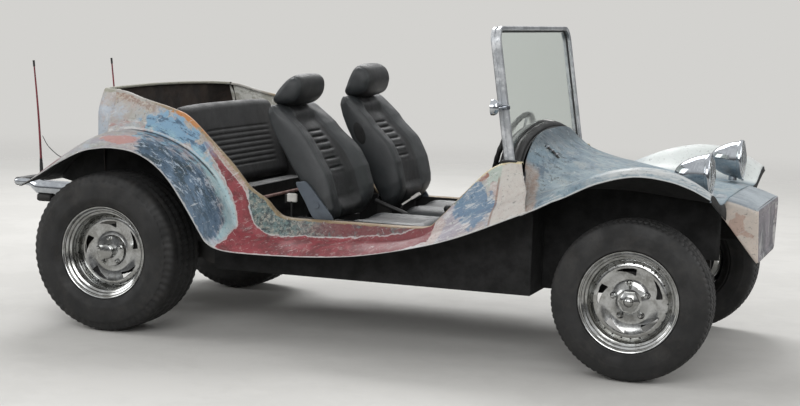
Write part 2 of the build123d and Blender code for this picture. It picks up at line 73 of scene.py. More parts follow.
# The node tree that new nodes go into: the world's, a group's or a finish's
drawing = {"tree": None}


def addNode(kind, inputs=None, **settings):
    node = drawing["tree"].nodes.new(kind)
    for key, value in settings.items():
        setattr(node, key, value)
    for key, value in (inputs or {}).items():
        if isinstance(value, bpy.types.NodeSocket):
            drawing["tree"].links.new(value, node.inputs[key])
        else:
            node.inputs[key].default_value = value
    return node


def calc(operation, *values):
    return addNode("ShaderNodeMath", dict(enumerate(values)), operation=operation).outputs[0]


def both(first, second):
    return calc("MULTIPLY", first, second)


def axesOf(vector):
    return addNode("ShaderNodeSeparateXYZ", {"Vector": vector}).outputs


def vectorMath(operation, *values):
    return addNode("ShaderNodeVectorMath", dict(enumerate(values)), operation=operation).outputs


def blendTones(mask, under, over):
    # Sockets 6 and 7 are the mix node's colours
    return addNode("ShaderNodeMix", {0: mask, 6: under, 7: over}, data_type="RGBA").outputs[2]


def ramp(value, low, high, toLow=0.0, toHigh=1.0):
    node = addNode("ShaderNodeMapRange", {
        "Value": value, "From Min": low, "From Max": high, "To Min": toLow, "To Max": toHigh,
    }, interpolation_type="SMOOTHSTEP")
    return node.outputs["Result"]


def makeCamera():
    s = cameraSettings
    yaw, pitch, roll = (math.radians(s[key]) for key in ("yaw", "pitch", "roll"))
    ahead = Vector((-math.sin(yaw) * math.cos(pitch), math.cos(yaw) * math.cos(pitch), -math.sin(pitch)))
    level = Vector((math.cos(yaw), math.sin(yaw), 0))
    up = level.cross(ahead)
    right = level * math.cos(roll) + up * math.sin(roll)
    top = up * math.cos(roll) - level * math.sin(roll)
    data = bpy.data.cameras.new("photoCamera")
    data.sensor_width = s["sensor"]
    data.lens = s["focalPixels"] / s["imageWidth"] * s["sensor"]
    camera = bpy.data.objects.new("photoCamera", data)
    turned = Matrix((right, top, -ahead)).transposed().to_4x4()
    turned.translation = Vector(s["place"])
    camera.matrix_world = turned
    scene.collection.objects.link(camera)
    scene.camera = camera


def makeWorld():
    world = bpy.data.worlds.new("studio")
    world.use_nodes = True
    tree = world.node_tree
    tree.nodes.clear()
    drawing["tree"] = tree
    path = addNode("ShaderNodeLightPath")
    seen = calc("MAXIMUM", path.outputs["Is Camera Ray"], path.outputs["Is Transmission Ray"])
    around = addNode("ShaderNodeTexCoord").outputs["Generated"]
    height = axesOf(around)["Z"]
    # The mirror finishes see a dim line at the horizon and a pale studio over it.
    mirrorTone = blendTones(ramp(height, 0.02, 0.45), tone("67686a"), tone("f1f2f3"))
    plain = addNode("ShaderNodeBackground", {"Color": tone("f4f3f1"), "Strength": studioTones["skyLevel"]})
    mirrored = addNode("ShaderNodeBackground", {"Color": mirrorTone, "Strength": 1.0})
    backdrop = addNode("ShaderNodeBackground", {"Color": tone(studioTones["backdrop"]), "Strength": 1.0})
    glossy = addNode("ShaderNodeMixShader", {
        0: path.outputs["Is Glossy Ray"], 1: plain.outputs[0], 2: mirrored.outputs[0]})
    mixed = addNode("ShaderNodeMixShader", {0: seen, 1: glossy.outputs[0], 2: backdrop.outputs[0]})
    output = addNode("ShaderNodeOutputWorld")
    tree.links.new(mixed.outputs[0], output.inputs["Surface"])
    scene.world = world


def makeLamps():
    for name, (place, aim, across, upward, power) in lampSettings.items():
        data = bpy.data.lights.new(name, "AREA")
        data.shape = "RECTANGLE"
        data.size = across
        data.size_y = upward
        data.energy = power
        lamp = bpy.data.objects.new(name, data)
        lamp.location = place
        lamp.rotation_euler = (Vector(aim) - Vector(place)).to_track_quat("-Z", "Y").to_euler()
        scene.collection.objects.link(lamp)


# Node groups for the effects that several finishes share
def newGroup(name, inputs, outputs):
    group = bpy.data.node_groups.new(name, "ShaderNodeTree")
    for label, kind, value in inputs:
        socket = group.interface.new_socket(label, in_out="INPUT", socket_type="NodeSocket" + kind)
        if value is not None:
            socket.default_value = value
    for label, kind in outputs:
        group.interface.new_socket(label, in_out="OUTPUT", socket_type="NodeSocket" + kind)
    drawing["tree"] = group
    return addNode("NodeGroupInput").outputs, addNode("NodeGroupOutput")


def closeGroup(result, **values):
    for key, value in values.items():
        drawing["tree"].links.new(value, result.inputs[key])
    return drawing["tree"]


def noiseOf(vector, scale, detail=5.0, roughness=0.6, distortion=0.0):
    return addNode("ShaderNodeTexNoise", {
        "Vector": vector, "Scale": scale, "Detail": detail, "Roughness": roughness, "Distortion": distortion,
    }).outputs["Fac"]


def makeBlotches():
    # Uneven patches that cover about the stated share of the surface
    given, result = newGroup("blotches", [
        ("Vector", "Vector", None), ("Scale", "Float", 6.0), ("Coverage", "Float", 0.4),
        ("Softness", "Float", 0.04), ("Shift", "Vector", None),
        ("Broken", "Float", 0.45)], [("Mask", "Float")])
    moved = vectorMath("ADD", given["Vector"], given["Shift"])[0]
    coarse = noiseOf(moved, given["Scale"], 7.0, 0.62, 0.5)
    fine = noiseOf(moved, both(given["Scale"], 6.3), 5.0, 0.7, 0.3)
    field = calc("MULTIPLY_ADD", calc("SUBTRACT", fine, 0.5), given["Broken"], coarse)
    level = calc("MULTIPLY_ADD", given["Coverage"], -0.36, 0.68)
    low = calc("SUBTRACT", level, given["Softness"])
    high = calc("ADD", level, given["Softness"])
    return closeGroup(result, Mask=ramp(field, low, high))


def makeScratches():
    # Sanding marks, drawn out along a direction turned about the car's cross axis
    given, result = newGroup("scratches", [
        ("Vector", "Vector", None), ("Scale", "Float", 60.0), ("Turn", "Float", 0.4),
        ("Amount", "Float", 0.4)], [("Mask", "Float")])
    turned = addNode("ShaderNodeVectorRotate", {
        "Vector": given["Vector"], "Angle": given["Turn"]}, rotation_type="Y_AXIS").outputs[0]
    drawn = vectorMath("MULTIPLY", turned, (0.11, 0.5, 1.0))[0]
    field = noiseOf(drawn, given["Scale"], 4.0, 0.7, 0.8)
    level = calc("MULTIPLY_ADD", given["Amount"], -0.3, 0.72)
    return closeGroup(result, Mask=ramp(field, level, calc("ADD", level, 0.05)))


def makeZone():
    # A painted area from the distance to its outline, with a ragged, rubbed-through border
    given, result = newGroup("zone", [
        ("Distance", "Float", 0.0), ("Vector", "Vector", None), ("Ragged", "Float", 0.02),
        ("Scale", "Float", 22.0), ("Softness", "Float", 0.003), ("Border", "Float", 0.006)],
        [("Mask", "Float"), ("Edge", "Float")])
    field = noiseOf(given["Vector"], given["Scale"], 6.0, 0.62, 0.4)
    push = both(calc("SUBTRACT", field, 0.5), both(given["Ragged"], 4.0))
    moved = calc("ADD", given["Distance"], push)
    soft = given["Softness"]
    mask = ramp(moved, both(soft, -1.0), soft)
    away = calc("ABSOLUTE", moved)
    edge = ramp(away, both(given["Border"], 0.5), given["Border"], 1.0, 0.0)
    return closeGroup(result, Mask=mask, Edge=edge)


def makePatch():
    # A soft oval area in side view, with an uneven border
    given, result = newGroup("patch", [
        ("Vector", "Vector", None), ("Centre", "Vector", None), ("Size", "Vector", (0.1, 1.0, 0.1)),
        ("Ragged", "Float", 0.5), ("Scale", "Float", 12.0)], [("Mask", "Float")])
    away = vectorMath("SUBTRACT", given["Vector"], given["Centre"])[0]
    scaled = vectorMath("DIVIDE", away, given["Size"])[0]
    reach = vectorMath("LENGTH", scaled)["Value"]
    field = noiseOf(given["Vector"], given["Scale"], 6.0, 0.6, 0.5)
    push = both(calc("SUBTRACT", field, 0.5), both(given["Ragged"], 4.0))
    inside = calc("ADD", calc("SUBTRACT", 1.0, reach), push)
    return closeGroup(result, Mask=ramp(inside, -0.08, 0.12))


def makeGrain():
    # Fine unevenness: a height for the roughness, and the bumped normal
    given, result = newGroup("grain", [
        ("Vector", "Vector", None), ("Scale", "Float", 200.0), ("Strength", "Float", 0.2),
        ("Depth", "Float", 0.001)], [("Height", "Float"), ("Normal", "Vector")])
    field = noiseOf(given["Vector"], given["Scale"], 4.0, 0.55)
    bump = addNode("ShaderNodeBump", {
        "Strength": given["Strength"], "Distance": given["Depth"], "Height": field})
    return closeGroup(result, Height=field, Normal=bump.outputs[0])


def makeHide():
    # Vinyl grain: small rounded cells with fine creases between them
    given, result = newGroup("hide", [
        ("Vector", "Vector", None), ("Scale", "Float", 420.0), ("Strength", "Float", 0.35)],
        [("Height", "Float"), ("Normal", "Vector")])
    wander = addNode("ShaderNodeTexNoise", {"Vector": given["Vector"], "Scale": 60.0, "Detail": 2.0})
    bent = addNode("ShaderNodeMixRGB", {"Fac": 0.02, "Color1": given["Vector"],
                                                "Color2": wander.outputs["Color"]}, blend_type="ADD")
    cells = addNode("ShaderNodeTexVoronoi", {
        "Vector": bent.outputs[0], "Scale": given["Scale"]}, feature="DISTANCE_TO_EDGE")
    height = ramp(cells.outputs["Distance"], 0.0, 0.18)
    slack = noiseOf(given["Vector"], 14.0, 3.0, 0.5, 0.6)
    total = calc("MULTIPLY_ADD", slack, 5.0, height)
    bump = addNode("ShaderNodeBump", {"Strength": given["Strength"], "Distance": 0.0008, "Height": total})
    return closeGroup(result, Height=height, Normal=bump.outputs[0])


def makeDust():
    # Pale dust that lies low on the car and on faces that look up
    given, result = newGroup("dust", [
        ("Vector", "Vector", None), ("Low", "Float", 0.1), ("High", "Float", 0.5),
        ("Amount", "Float", 0.4)], [("Mask", "Float")])
    height = axesOf(given["Vector"])["Z"]
    facing = addNode("ShaderNodeNewGeometry").outputs["Normal"]
    upward = axesOf(facing)["Z"]
    low = ramp(height, given["Low"], given["High"], 1.0, 0.0)
    total = calc("MAXIMUM", low, ramp(upward, 0.5, 1.0, 0.0, 0.6))
    field = noiseOf(given["Vector"], 9.0, 6.0, 0.65)
    mask = both(both(total, ramp(field, 0.35, 0.65)), given["Amount"])
    return closeGroup(result, Mask=mask)


groups = {
    "blotches": makeBlotches(), "scratches": makeScratches(), "zone": makeZone(), "patch": makePatch(),
    "grain": makeGrain(), "hide": makeHide(), "dust": makeDust(),
}


def useGroup(name, **inputs):
    return addNode("ShaderNodeGroup", inputs, node_tree=groups[name]).outputs


def newFinish(name):
    material = bpy.data.materials.new(name)
    material.use_nodes = True
    tree = material.node_tree
    tree.nodes.clear()
    drawing["tree"] = tree
    shader = addNode("ShaderNodeBsdfPrincipled")
    output = addNode("ShaderNodeOutputMaterial")
    tree.links.new(shader.outputs[0], output.inputs["Surface"])
    place = addNode("ShaderNodeTexCoord").outputs["Object"]
    return material, shader, place


def connect(shader, **inputs):
    for key, value in inputs.items():
        socket = shader.inputs[key.replace("_", " ")]
        if isinstance(value, bpy.types.NodeSocket):
            drawing["tree"].links.new(value, socket)
        else:
            socket.default_value = value


# Paint tones of the sanded body
paintTones = {
    "paleBlue": "7b9fb9", "slateBlue": "43576a", "slateLow": "5a6f84", "deepTeal": "27353b",
    "spotBlue": "3c5268", "coolWhite": "a8b5c2", "cyanPale": "9dbdc3", "khaki": "8d8c7d", "salmon": "b0857f",
    "lavender": "96919a", "primerPink": "ac9e9a", "primerGrey": "a4a39e", "redOxide": "8b4046",
    "redDark": "6a3538", "chalk": "c6c7c6", "rustOrange": "b5742c", "tanRim": "8b795c", "rimHighlightCream": "cbbd97",
    "rimSoil": "86695a", "darkSpot": "252b31", "mossGrey": "5d7170", "bone": "aea598", "tealBlue": "5b7790",
    "brownRed": "8a5a4b", "greenWhite": "a5b0a8",
    "hoodGrey": "6c808c", "hoodPale": "8d9ca3", "hoodShade": "39454d", "podGrey": "bab6b0",
    "seamBeige": "9c948d", "farWhite": "dadfdd", "clay": "a0705c", "noseBone": "cfc3b9", "nosePale": "9ca5ab",
    "noseGrey": "828b92", "noseMauve": "7d787e", "noseDark": "57575c",
}


def attribute(name):
    return addNode("ShaderNodeAttribute", attribute_name=name).outputs["Fac"]


def paintFinish(name, build):
    # Sanded paint: build gives the colour, and the rest is common to all body pieces
    material, shader, place = newFinish(name)
    colour = build(place)
    specks = useGroup("blotches", Vector=place, Scale=75.0, Coverage=0.12, Softness=0.04)["Mask"]
    colour = blendTones(both(specks, 0.5), colour, tone(paintTones["darkSpot"]))
    marks = useGroup("scratches", Vector=place, Scale=70.0, Turn=0.5, Amount=0.34)["Mask"]
    crossed = useGroup("scratches", Vector=place, Scale=90.0, Turn=-0.9, Amount=0.28)["Mask"]
    rubbed = both(calc("MAXIMUM", marks, crossed), 0.5)
    colour = blendTones(rubbed, colour, tone(paintTones["chalk"]))
    fine = useGroup("grain", Vector=place, Scale=140.0, Strength=0.18, Depth=0.002)
    cloudy = noiseOf(place, 5.0, 6.0, 0.7)
    connect(shader, Base_Color=colour, Roughness=ramp(cloudy, 0.3, 0.7, 0.42, 0.72), Normal=fine["Normal"])
    shader.inputs["Specular IOR Level"].default_value = 0.4
    return material


def shares(place, *rows):
    # Broken patches: rows of scale, coverage, softness and shift, each giving a mask
    return [useGroup("blotches", Vector=place, Scale=scale, Coverage=cover, Softness=soft,
                     Shift=shift)["Mask"] for scale, cover, soft, shift in rows]


def laid(colour, mask, share, key):
    return blendTones(both(mask, share), colour, tone(paintTones[key]))


def stretch(value, *steps):
    # A rise over the first two steps and a fall over the last two
    up = ramp(value, steps[0], steps[1])
    return both(up, ramp(value, steps[2], steps[3], 1.0, 0.0))


def roughened(place, name, scale, reach):
    field = calc("SUBTRACT", noiseOf(place, scale, 6.0, 0.65), 0.5)
    return calc("MULTIPLY_ADD", field, reach, attribute(name))


def zoneOf(name, vector, ragged, softness=0.003):
    return useGroup("zone", Distance=attribute(name), Vector=vector, Ragged=ragged,
                    Softness=softness)["Mask"]


def sideColour(place):
    names = {key: tone(value) for key, value in paintTones.items()}
    parts = axesOf(place)
    along, high = parts["X"], parts["Z"]
    away = attribute("creaseAway")
    # a frame that runs with the fender's curve, for marks drawn out along it
    flow = addNode("ShaderNodeCombineXYZ", {
        "X": attribute("alongRun"), "Y": both(away, 3.0),
        "Z": both(parts["Y"], 0.4)}).outputs[0]
    masks = shares(place, (4.5, 0.42, 0.14, (0, 0, 0)), (7.0, 0.42, 0.10, (3.1, 0.4, 1.7)),
                   (9.0, 0.30, 0.10, (7, 2, 5)), (22.0, 0.20, 0.07, (5, 5, 1)))
    colour = laid(names["primerGrey"], masks[0], 0.9, "primerPink")
    colour = laid(colour, masks[1], 0.70, "coolWhite")
    colour = laid(colour, masks[2], 0.6, "khaki")
    colour = laid(colour, masks[3], 0.5, "chalk")
    # soiled strip under the rim beside the luggage well
    soil = ramp(roughened(place, "rimAway", 22.0, 0.08), 0.025, 0.055, 1.0, 0.0)
    soil = both(soil, ramp(along, -0.98, -0.80, 1.0, 0.35))
    speckle = shares(place, (55.0, 0.45, 0.06, (2, 9, 4)))[0]
    colour = blendTones(both(soil, 0.75), colour, blendTones(speckle, names["rimSoil"], names["bone"]))
    # drawn-out marks on the fender and either side of its crease
    wisps = shares(flow, (11.0, 0.50, 0.10, (0, 0, 0)), (20.0, 0.34, 0.05, (4, 1, 7)),
                   (15.0, 0.34, 0.06, (8, 3, 2)))
    below = ramp(away, -0.02, 0.01)
    beside = ramp(calc("ABSOLUTE", away), 0.03, 0.09, 1.0, 0.0)
    colour = laid(colour, both(below, wisps[0]), 0.75, "lavender")
    colour = laid(colour, both(beside, wisps[2]), 0.65, "salmon")
    colour = laid(colour, both(beside, wisps[1]), 0.85, "chalk")
    # the pale blue of the quarter, with darker rubs above the crease
    quarter = zoneOf("paleZone", place, 0.065, 0.014)
    rubs = shares(flow, (13.0, 0.30, 0.05, (1, 1, 1)), (24.0, 0.40, 0.06, (5, 2, 2)))
    colour = laid(colour, quarter, 0.95, "paleBlue")
    lower = both(quarter, ramp(away, -0.055, -0.020))
    colour = laid(colour, both(lower, rubs[1]), 0.8, "cyanPale")
    colour = laid(colour, both(quarter, rubs[0]), 0.8, "spotBlue")
    # the dark blue-grey front half of the fender, streaked along its curve
    slate = zoneOf("slateZone", flow, 0.03, 0.014)
    strokes = shares(flow, (6.0, 0.50, 0.12, (1, 6, 2)), (10.0, 0.46, 0.07, (6, 1, 3)),
                     (14.0, 0.30, 0.04, (2, 8, 5)))
    deep = blendTones(strokes[0], names["slateBlue"], names["slateLow"])
    for stroke, low, top, share, key in ((strokes[1], 0.45, 0.75, 0.85, "deepTeal"),
                                         (strokes[2], 0.20, 0.72, 0.8, "coolWhite")):
        deep = laid(deep, both(stroke, ramp(high, 0.50, top, low, 1.0)), share, key)
    colour = blendTones(slate, colour, deep)
    cyan = zoneOf("cyanZone", place, 0.008, 0.006)
    colour = laid(colour, both(cyan, ramp(high, 0.74, 0.82, 1.0, 0.3)), 0.75, "cyanPale")
    # mottled strips: between the red band and the rim, and between the cockpit rim and the ridge
    flank = zoneOf("flankZone", place, 0.010, 0.008)
    moss = zoneOf("shelfZone", place, 0.008)
    motes = shares(place, (40.0, 0.40, 0.10, (2, 2, 2)), (60.0, 0.42, 0.08, (8, 3, 1)),
                   (14.0, 0.75, 0.10, (4, 4, 4)))
    dirty = laid(blendTones(motes[0], names["bone"], names["salmon"]), motes[1], 0.7, "rimSoil")
    colour = blendTones(both(flank, 0.85), colour, dirty)
    mixed = blendTones(both(motes[0], 0.6), names["mossGrey"], names["bone"])
    mixed = laid(mixed, motes[1], 0.8, "darkSpot")
    mixed = laid(mixed, both(ramp(along, -0.25, 0.05), motes[2]), 0.9, "redDark")
    colour = blendTones(moss, colour, mixed)
    # red oxide band down the quarter and along the sill
    red = useGroup("zone", Distance=attribute("redZone"), Vector=place, Ragged=0.008, Border=0.0035)
    worn = shares(place, (12.0, 0.40, 0.12, (1, 1, 9)), (36.0, 0.20, 0.06, (3, 7, 2)))
    oxide = laid(blendTones(worn[0], names["redOxide"], names["redDark"]), worn[1], 0.4, "primerPink")
    oxide = laid(oxide, ramp(along, 0.0, 0.35), 0.75, "redDark")
    strong = ramp(high, 0.77, 0.86, 1.0, 0.4)
    colour = blendTones(both(red["Mask"], strong), colour, oxide)
    colour = laid(colour, both(red["Edge"], strong), 0.5, "chalk")
    # the front of the sill, up to the screen pod
    for centre, size, key in (((0.545, 0, 0.60), (0.085, 9, 0.070), "lavender"),
                              ((0.485, 0, 0.565), (0.030, 9, 0.060), "primerPink"),
                              ((0.54, 0, 0.715), (0.055, 9, 0.040), "mossGrey"),
                              ((0.715, 0, 0.81), (0.040, 9, 0.060), "greenWhite"),
                              ((0.720, 0, 0.755), (0.022, 9, 0.035), "primerPink"),
                              ((0.645, 0, 0.69), (0.088, 9, 0.082), "tealBlue"),
                              ((0.650, 0, 0.805), (0.050, 9, 0.022), "brownRed"),
                              ((-0.98, 0, 0.880), (0.100, 9, 0.016), "salmon")):
        spot = useGroup("patch", Vector=place, Centre=centre, Size=size, Ragged=0.5)["Mask"]
        colour = laid(colour, spot, 0.88, key)
    front = stretch(along, 0.47, 0.50, 0.73, 0.75)
    colour = laid(colour, both(front, wisps[1]), 0.6, "chalk")
    pod = stretch(along, 0.742, 0.749, 0.9, 0.95)
    colour = laid(colour, pod, 0.9, "podGrey")
    upright = vectorMath("MULTIPLY", place, (1, 1, 0.12))[0]
    streaked = shares(upright, (40.0, 0.36, 0.08, (3, 3, 3)))[0]
    colour = laid(colour, both(pod, streaked), 0.45, "primerPink")
    edge = both(stretch(along, 0.733, 0.737, 0.742, 0.747), ramp(high, 0.79, 0.82, 1.0, 0.0))
    colour = laid(colour, edge, 0.7, "rimSoil")
    # the crease is a dark line of painted shade, with a painted highlight along its edge
    groove = roughened(place, "creaseAway", 16.0, 0.008)
    line = ramp(calc("ABSOLUTE", groove), 0.0030, 0.0070, 1.0, 0.0)
    line = both(line, stretch(along, -1.08, -0.95, -0.60, -0.55))
    colour = laid(colour, line, 0.9, "darkSpot")
    light = stretch(groove, -0.019, -0.014, -0.011, -0.007)
    light = both(light, stretch(along, -1.2, -1.0, -0.60, -0.55))
    colour = laid(colour, light, 0.5, "chalk")
    # red wash at the fender's tail
    tip = both(ramp(along, -1.34, -1.27, 1.0, 0.0), ramp(attribute("lipAway"), 0.02, 0.03))
    colour = laid(colour, tip, 0.8, "redDark")
    # rubbed rim: orange by the rear seat, brown and tan elsewhere; towards the screen it turns cream as a
    # painted highlight
    rim = roughened(place, "rimAway", 34.0, 0.030)
    warm = useGroup("patch", Vector=place, Centre=(-0.70, 0, 0.985), Size=(0.12, 9, 0.08),
                    Ragged=0.8)["Mask"]
    rusty = blendTones(ramp(along, -0.98, -0.84), names["primerGrey"], names["tanRim"])
    rusty = blendTones(ramp(along, 0.55, 0.66), rusty, names["rimHighlightCream"])
    rusty = blendTones(warm, rusty, names["rustOrange"])
    width = calc("MULTIPLY_ADD", warm, 0.010, 0.008)
    strip = ramp(rim, both(width, 0.7), width, 1.0, 0.0)
    colour = blendTones(both(strip, 0.85), colour, rusty)
    lip = ramp(roughened(place, "lipAway", 40.0, 0.016), 0.004, 0.009, 1.0, 0.0)
    return laid(colour, lip, 0.75, "chalk")


def frontColour(place):
    names = {key: tone(value) for key, value in paintTones.items()}
    parts = axesOf(place)
    along, high = parts["X"], parts["Z"]
    aside = calc("ABSOLUTE", parts["Y"])
    masks = shares(place, (5.0, 0.5, 0.14, (0, 0, 0)), (12.0, 0.34, 0.09, (2, 5, 1)),
                   (9.0, 0.28, 0.10, (9, 1, 4)), (26.0, 0.20, 0.06, (4, 4, 4)), (40.0, 0.5, 0.06, (1, 2, 3)))
    colour = blendTones(masks[0], names["hoodGrey"], names["hoodPale"])
    colour = laid(colour, masks[1], 0.4, "primerGrey")
    rear = ramp(along, 0.85, 1.15, 1.0, 0.2)
    colour = laid(colour, both(masks[2], rear), 0.8, "slateBlue")
    colour = laid(colour, both(masks[3], rear), 0.8, "darkSpot")
    # painted shade: the hood's top darkens towards the cowl
    crown = both(ramp(high, 0.895, 0.945), ramp(along, 0.82, 0.98, 1.0, 0.3))
    colour = laid(colour, crown, 0.7, "hoodShade")
    # the beige strip along the seam beside the screen pod
    beyond = calc("MAXIMUM", calc("SUBTRACT", aside, 0.48), 0.0)
    behind = calc("MULTIPLY_ADD", beyond, -0.223, along)
    wander = calc("MULTIPLY_ADD", noiseOf(place, 14.0), 0.05, calc("SUBTRACT", behind, 0.025))
    beige = both(ramp(aside, 0.45, 0.50), ramp(wander, 0.855, 0.875, 1.0, 0.0))
    dull = laid(names["seamBeige"], masks[4], 0.6, "rimSoil")
    colour = blendTones(both(beige, 0.9), colour, dull)
    seam = both(ramp(aside, 0.50, 0.53), ramp(behind, 0.8085, 0.8125, 1.0, 0.0))
    colour = laid(colour, seam, 0.92, "darkSpot")
    # the far fender is rubbed nearly white; along the near one's crown, pale streaks are a painted highlight
    white = both(ramp(parts["Y"], 0.46, 0.56), ramp(along, 1.0, 1.15))
    colour = laid(colour, white, 0.92, "farWhite")
    flow = vectorMath("MULTIPLY", place, (0.25, 1, 1))[0]
    crownHighlightStreaks = shares(flow, (26.0, 0.60, 0.08, (2, 2, 6)))[0]
    top = both(stretch(attribute("lipAway"), 0.005, 0.02, 0.07, 0.13), ramp(along, 1.12, 1.3))
    colour = laid(colour, both(top, crownHighlightStreaks), 0.75, "chalk")
    lip = ramp(roughened(place, "lipAway", 40.0, 0.016), 0.004, 0.010, 1.0, 0.0)
    return laid(colour, lip, 0.75, "chalk")


def noseColour(place):
    names = {key: tone(value) for key, value in paintTones.items()}
    broad = useGroup("blotches", Vector=place, Scale=6.0, Coverage=0.5, Softness=0.12)["Mask"]
    colour = laid(names["noseBone"], broad, 0.4, "primerGrey")
    facing = axesOf(addNode("ShaderNodeNewGeometry").outputs["Normal"])
    stain = useGroup("patch", Vector=place, Centre=(1.705, 0, 0.62), Size=(0.045, 9, 0.06), Ragged=0.9,
                     Scale=14.0)["Mask"]
    colour = laid(colour, stain, 0.45, "clay")
    above = blendTones(broad, names["nosePale"], names["noseGrey"])
    colour = blendTones(ramp(facing["Z"], 0.3, 0.7), colour, above)
    ahead = blendTones(broad, names["noseMauve"], names["noseDark"])
    streak = useGroup("scratches", Vector=place, Scale=22.0, Turn=1.5, Amount=0.5)["Mask"]
    ahead = laid(ahead, streak, 0.5, "chalk")
    return blendTones(ramp(facing["X"], 0.6, 0.9), colour, ahead)


def tailColour(place):
    names = {key: tone(value) for key, value in paintTones.items()}
    masks = shares(place, (4.5, 0.42, 0.14, (0, 0, 0)), (7.0, 0.45, 0.10, (3.1, 0.4, 1.7)),
                   (22.0, 0.20, 0.07, (5, 5, 1)))
    colour = laid(names["primerGrey"], masks[0], 0.9, "primerPink")
    colour = laid(colour, masks[1], 0.75, "coolWhite")
    colour = laid(colour, masks[2], 0.5, "chalk")
    rim = ramp(roughened(place, "rimAway", 34.0, 0.035), 0.010, 0.018, 0.85, 0.0)
    return blendTones(rim, colour, names["khaki"])


def innerFinish(name):
    # Bare brown moulding inside, thinly oversprayed with pale paint high up beside the luggage well
    material, shader, place = newFinish(name)
    parts = axesOf(place)
    mask, thin = shares(place, (8.0, 0.5, 0.1, (0, 0, 0)), (18.0, 0.55, 0.10, (5, 1, 3)))
    colour = blendTones(mask, tone("1d1815"), tone("2f2620"))
    level = calc("MULTIPLY_ADD", noiseOf(place, 9.0), 0.10, calc("SUBTRACT", parts["Z"], 0.05))
    pale = both(ramp(level, 0.86, 0.94), stretch(parts["X"], -1.30, -1.20, -0.62, -0.50))
    sprayed = blendTones(thin, tone("bdbcb2"), tone("eeeee8"))
    colour = blendTones(both(pale, 0.95), colour, sprayed)
    # painted shade: the wheel arch, outside the crease, is black
    colour = blendTones(ramp(attribute("creaseAway"), -0.02, 0.0), colour, tone("060606"))
    fine = useGroup("grain", Vector=place, Scale=90.0, Strength=0.5, Depth=0.001)
    connect(shader, Base_Color=colour, Normal=fine["Normal"],
            Roughness=ramp(noiseOf(place, 13.0), 0.3, 0.7, 0.7, 0.95))
    return material


def plainFinish(name, base, second, rough, metal=0.0, scale=8.0, grainScale=150.0, grain=0.15, dust=0.0):
    # A finish of two close tones with uneven gloss, fine grain and, if asked, dust
    material, shader, place = newFinish(name)
    mask = useGroup("blotches", Vector=place, Scale=scale, Coverage=0.5, Softness=0.1)["Mask"]
    colour = blendTones(mask, tone(base), tone(second))
    if dust:
        lying = useGroup("dust", Vector=place, Amount=dust)["Mask"]
        colour = blendTones(lying, colour, tone("8d857a"))
    fine = useGroup("grain", Vector=place, Scale=grainScale, Strength=grain, Depth=0.001)
    gloss = ramp(noiseOf(place, scale * 1.7, 5.0, 0.65), 0.3, 0.7, rough[0], rough[1])
    connect(shader, Base_Color=colour, Roughness=gloss, Metallic=metal, Normal=fine["Normal"])
    return material


def hideFinish(name, base, second, gloss):
    material, shader, place = newFinish(name)
    worn = useGroup("blotches", Vector=place, Scale=6.0, Coverage=0.4, Softness=0.12)["Mask"]
    skin = useGroup("hide", Vector=place, Scale=420.0, Strength=0.3)
    # painted shade: the grain's creases are darkened towards black
    creaseShaded = blendTones(ramp(skin["Height"], 0.0, 0.6, 0.35, 0.0), tone(base), (0, 0, 0, 1))
    colour = blendTones(both(worn, 0.6), creaseShaded, tone(second))
    smooth = ramp(noiseOf(place, 10.0, 5.0, 0.6), 0.3, 0.7, gloss[0], gloss[1])
    connect(shader, Base_Color=colour, Roughness=smooth, Normal=skin["Normal"])
    return material


def glassFinish(name, colour, rough, ribs=0.0):
    material, shader, place = newFinish(name)
    smear = ramp(noiseOf(place, 7.0, 5.0, 0.6), 0.35, 0.75, rough, rough + 0.05)
    connect(shader, Base_Color=tone(colour), Roughness=smear)
    shader.inputs["Transmission Weight"].default_value = 1.0
    shader.inputs["IOR"].default_value = 1.45
    if ribs:
        bands = addNode("ShaderNodeTexWave", {"Vector": place, "Scale": ribs, "Distortion": 0.0},
                        bands_direction="Y")
        bump = addNode("ShaderNodeBump", {"Strength": 0.5, "Distance": 0.002,
                                          "Height": bands.outputs["Fac"]})
        connect(shader, Normal=bump.outputs[0])
    return material


def rubberFinish(name):
    material, shader, place = newFinish(name)
    grey = useGroup("blotches", Vector=place, Scale=5.0, Coverage=0.5, Softness=0.12)["Mask"]
    colour = blendTones(grey, tone("141414"), tone("191919"))
    lying = useGroup("blotches", Vector=place, Scale=14.0, Coverage=0.25, Softness=0.12)["Mask"]
    colour = blendTones(both(lying, 0.10), colour, tone("5c5650"))
    fine = useGroup("grain", Vector=place, Scale=260.0, Strength=0.2, Depth=0.001)
    connect(shader, Base_Color=colour, Normal=fine["Normal"],
            Roughness=ramp(noiseOf(place, 11.0), 0.3, 0.7, 0.62, 0.85))
    return material


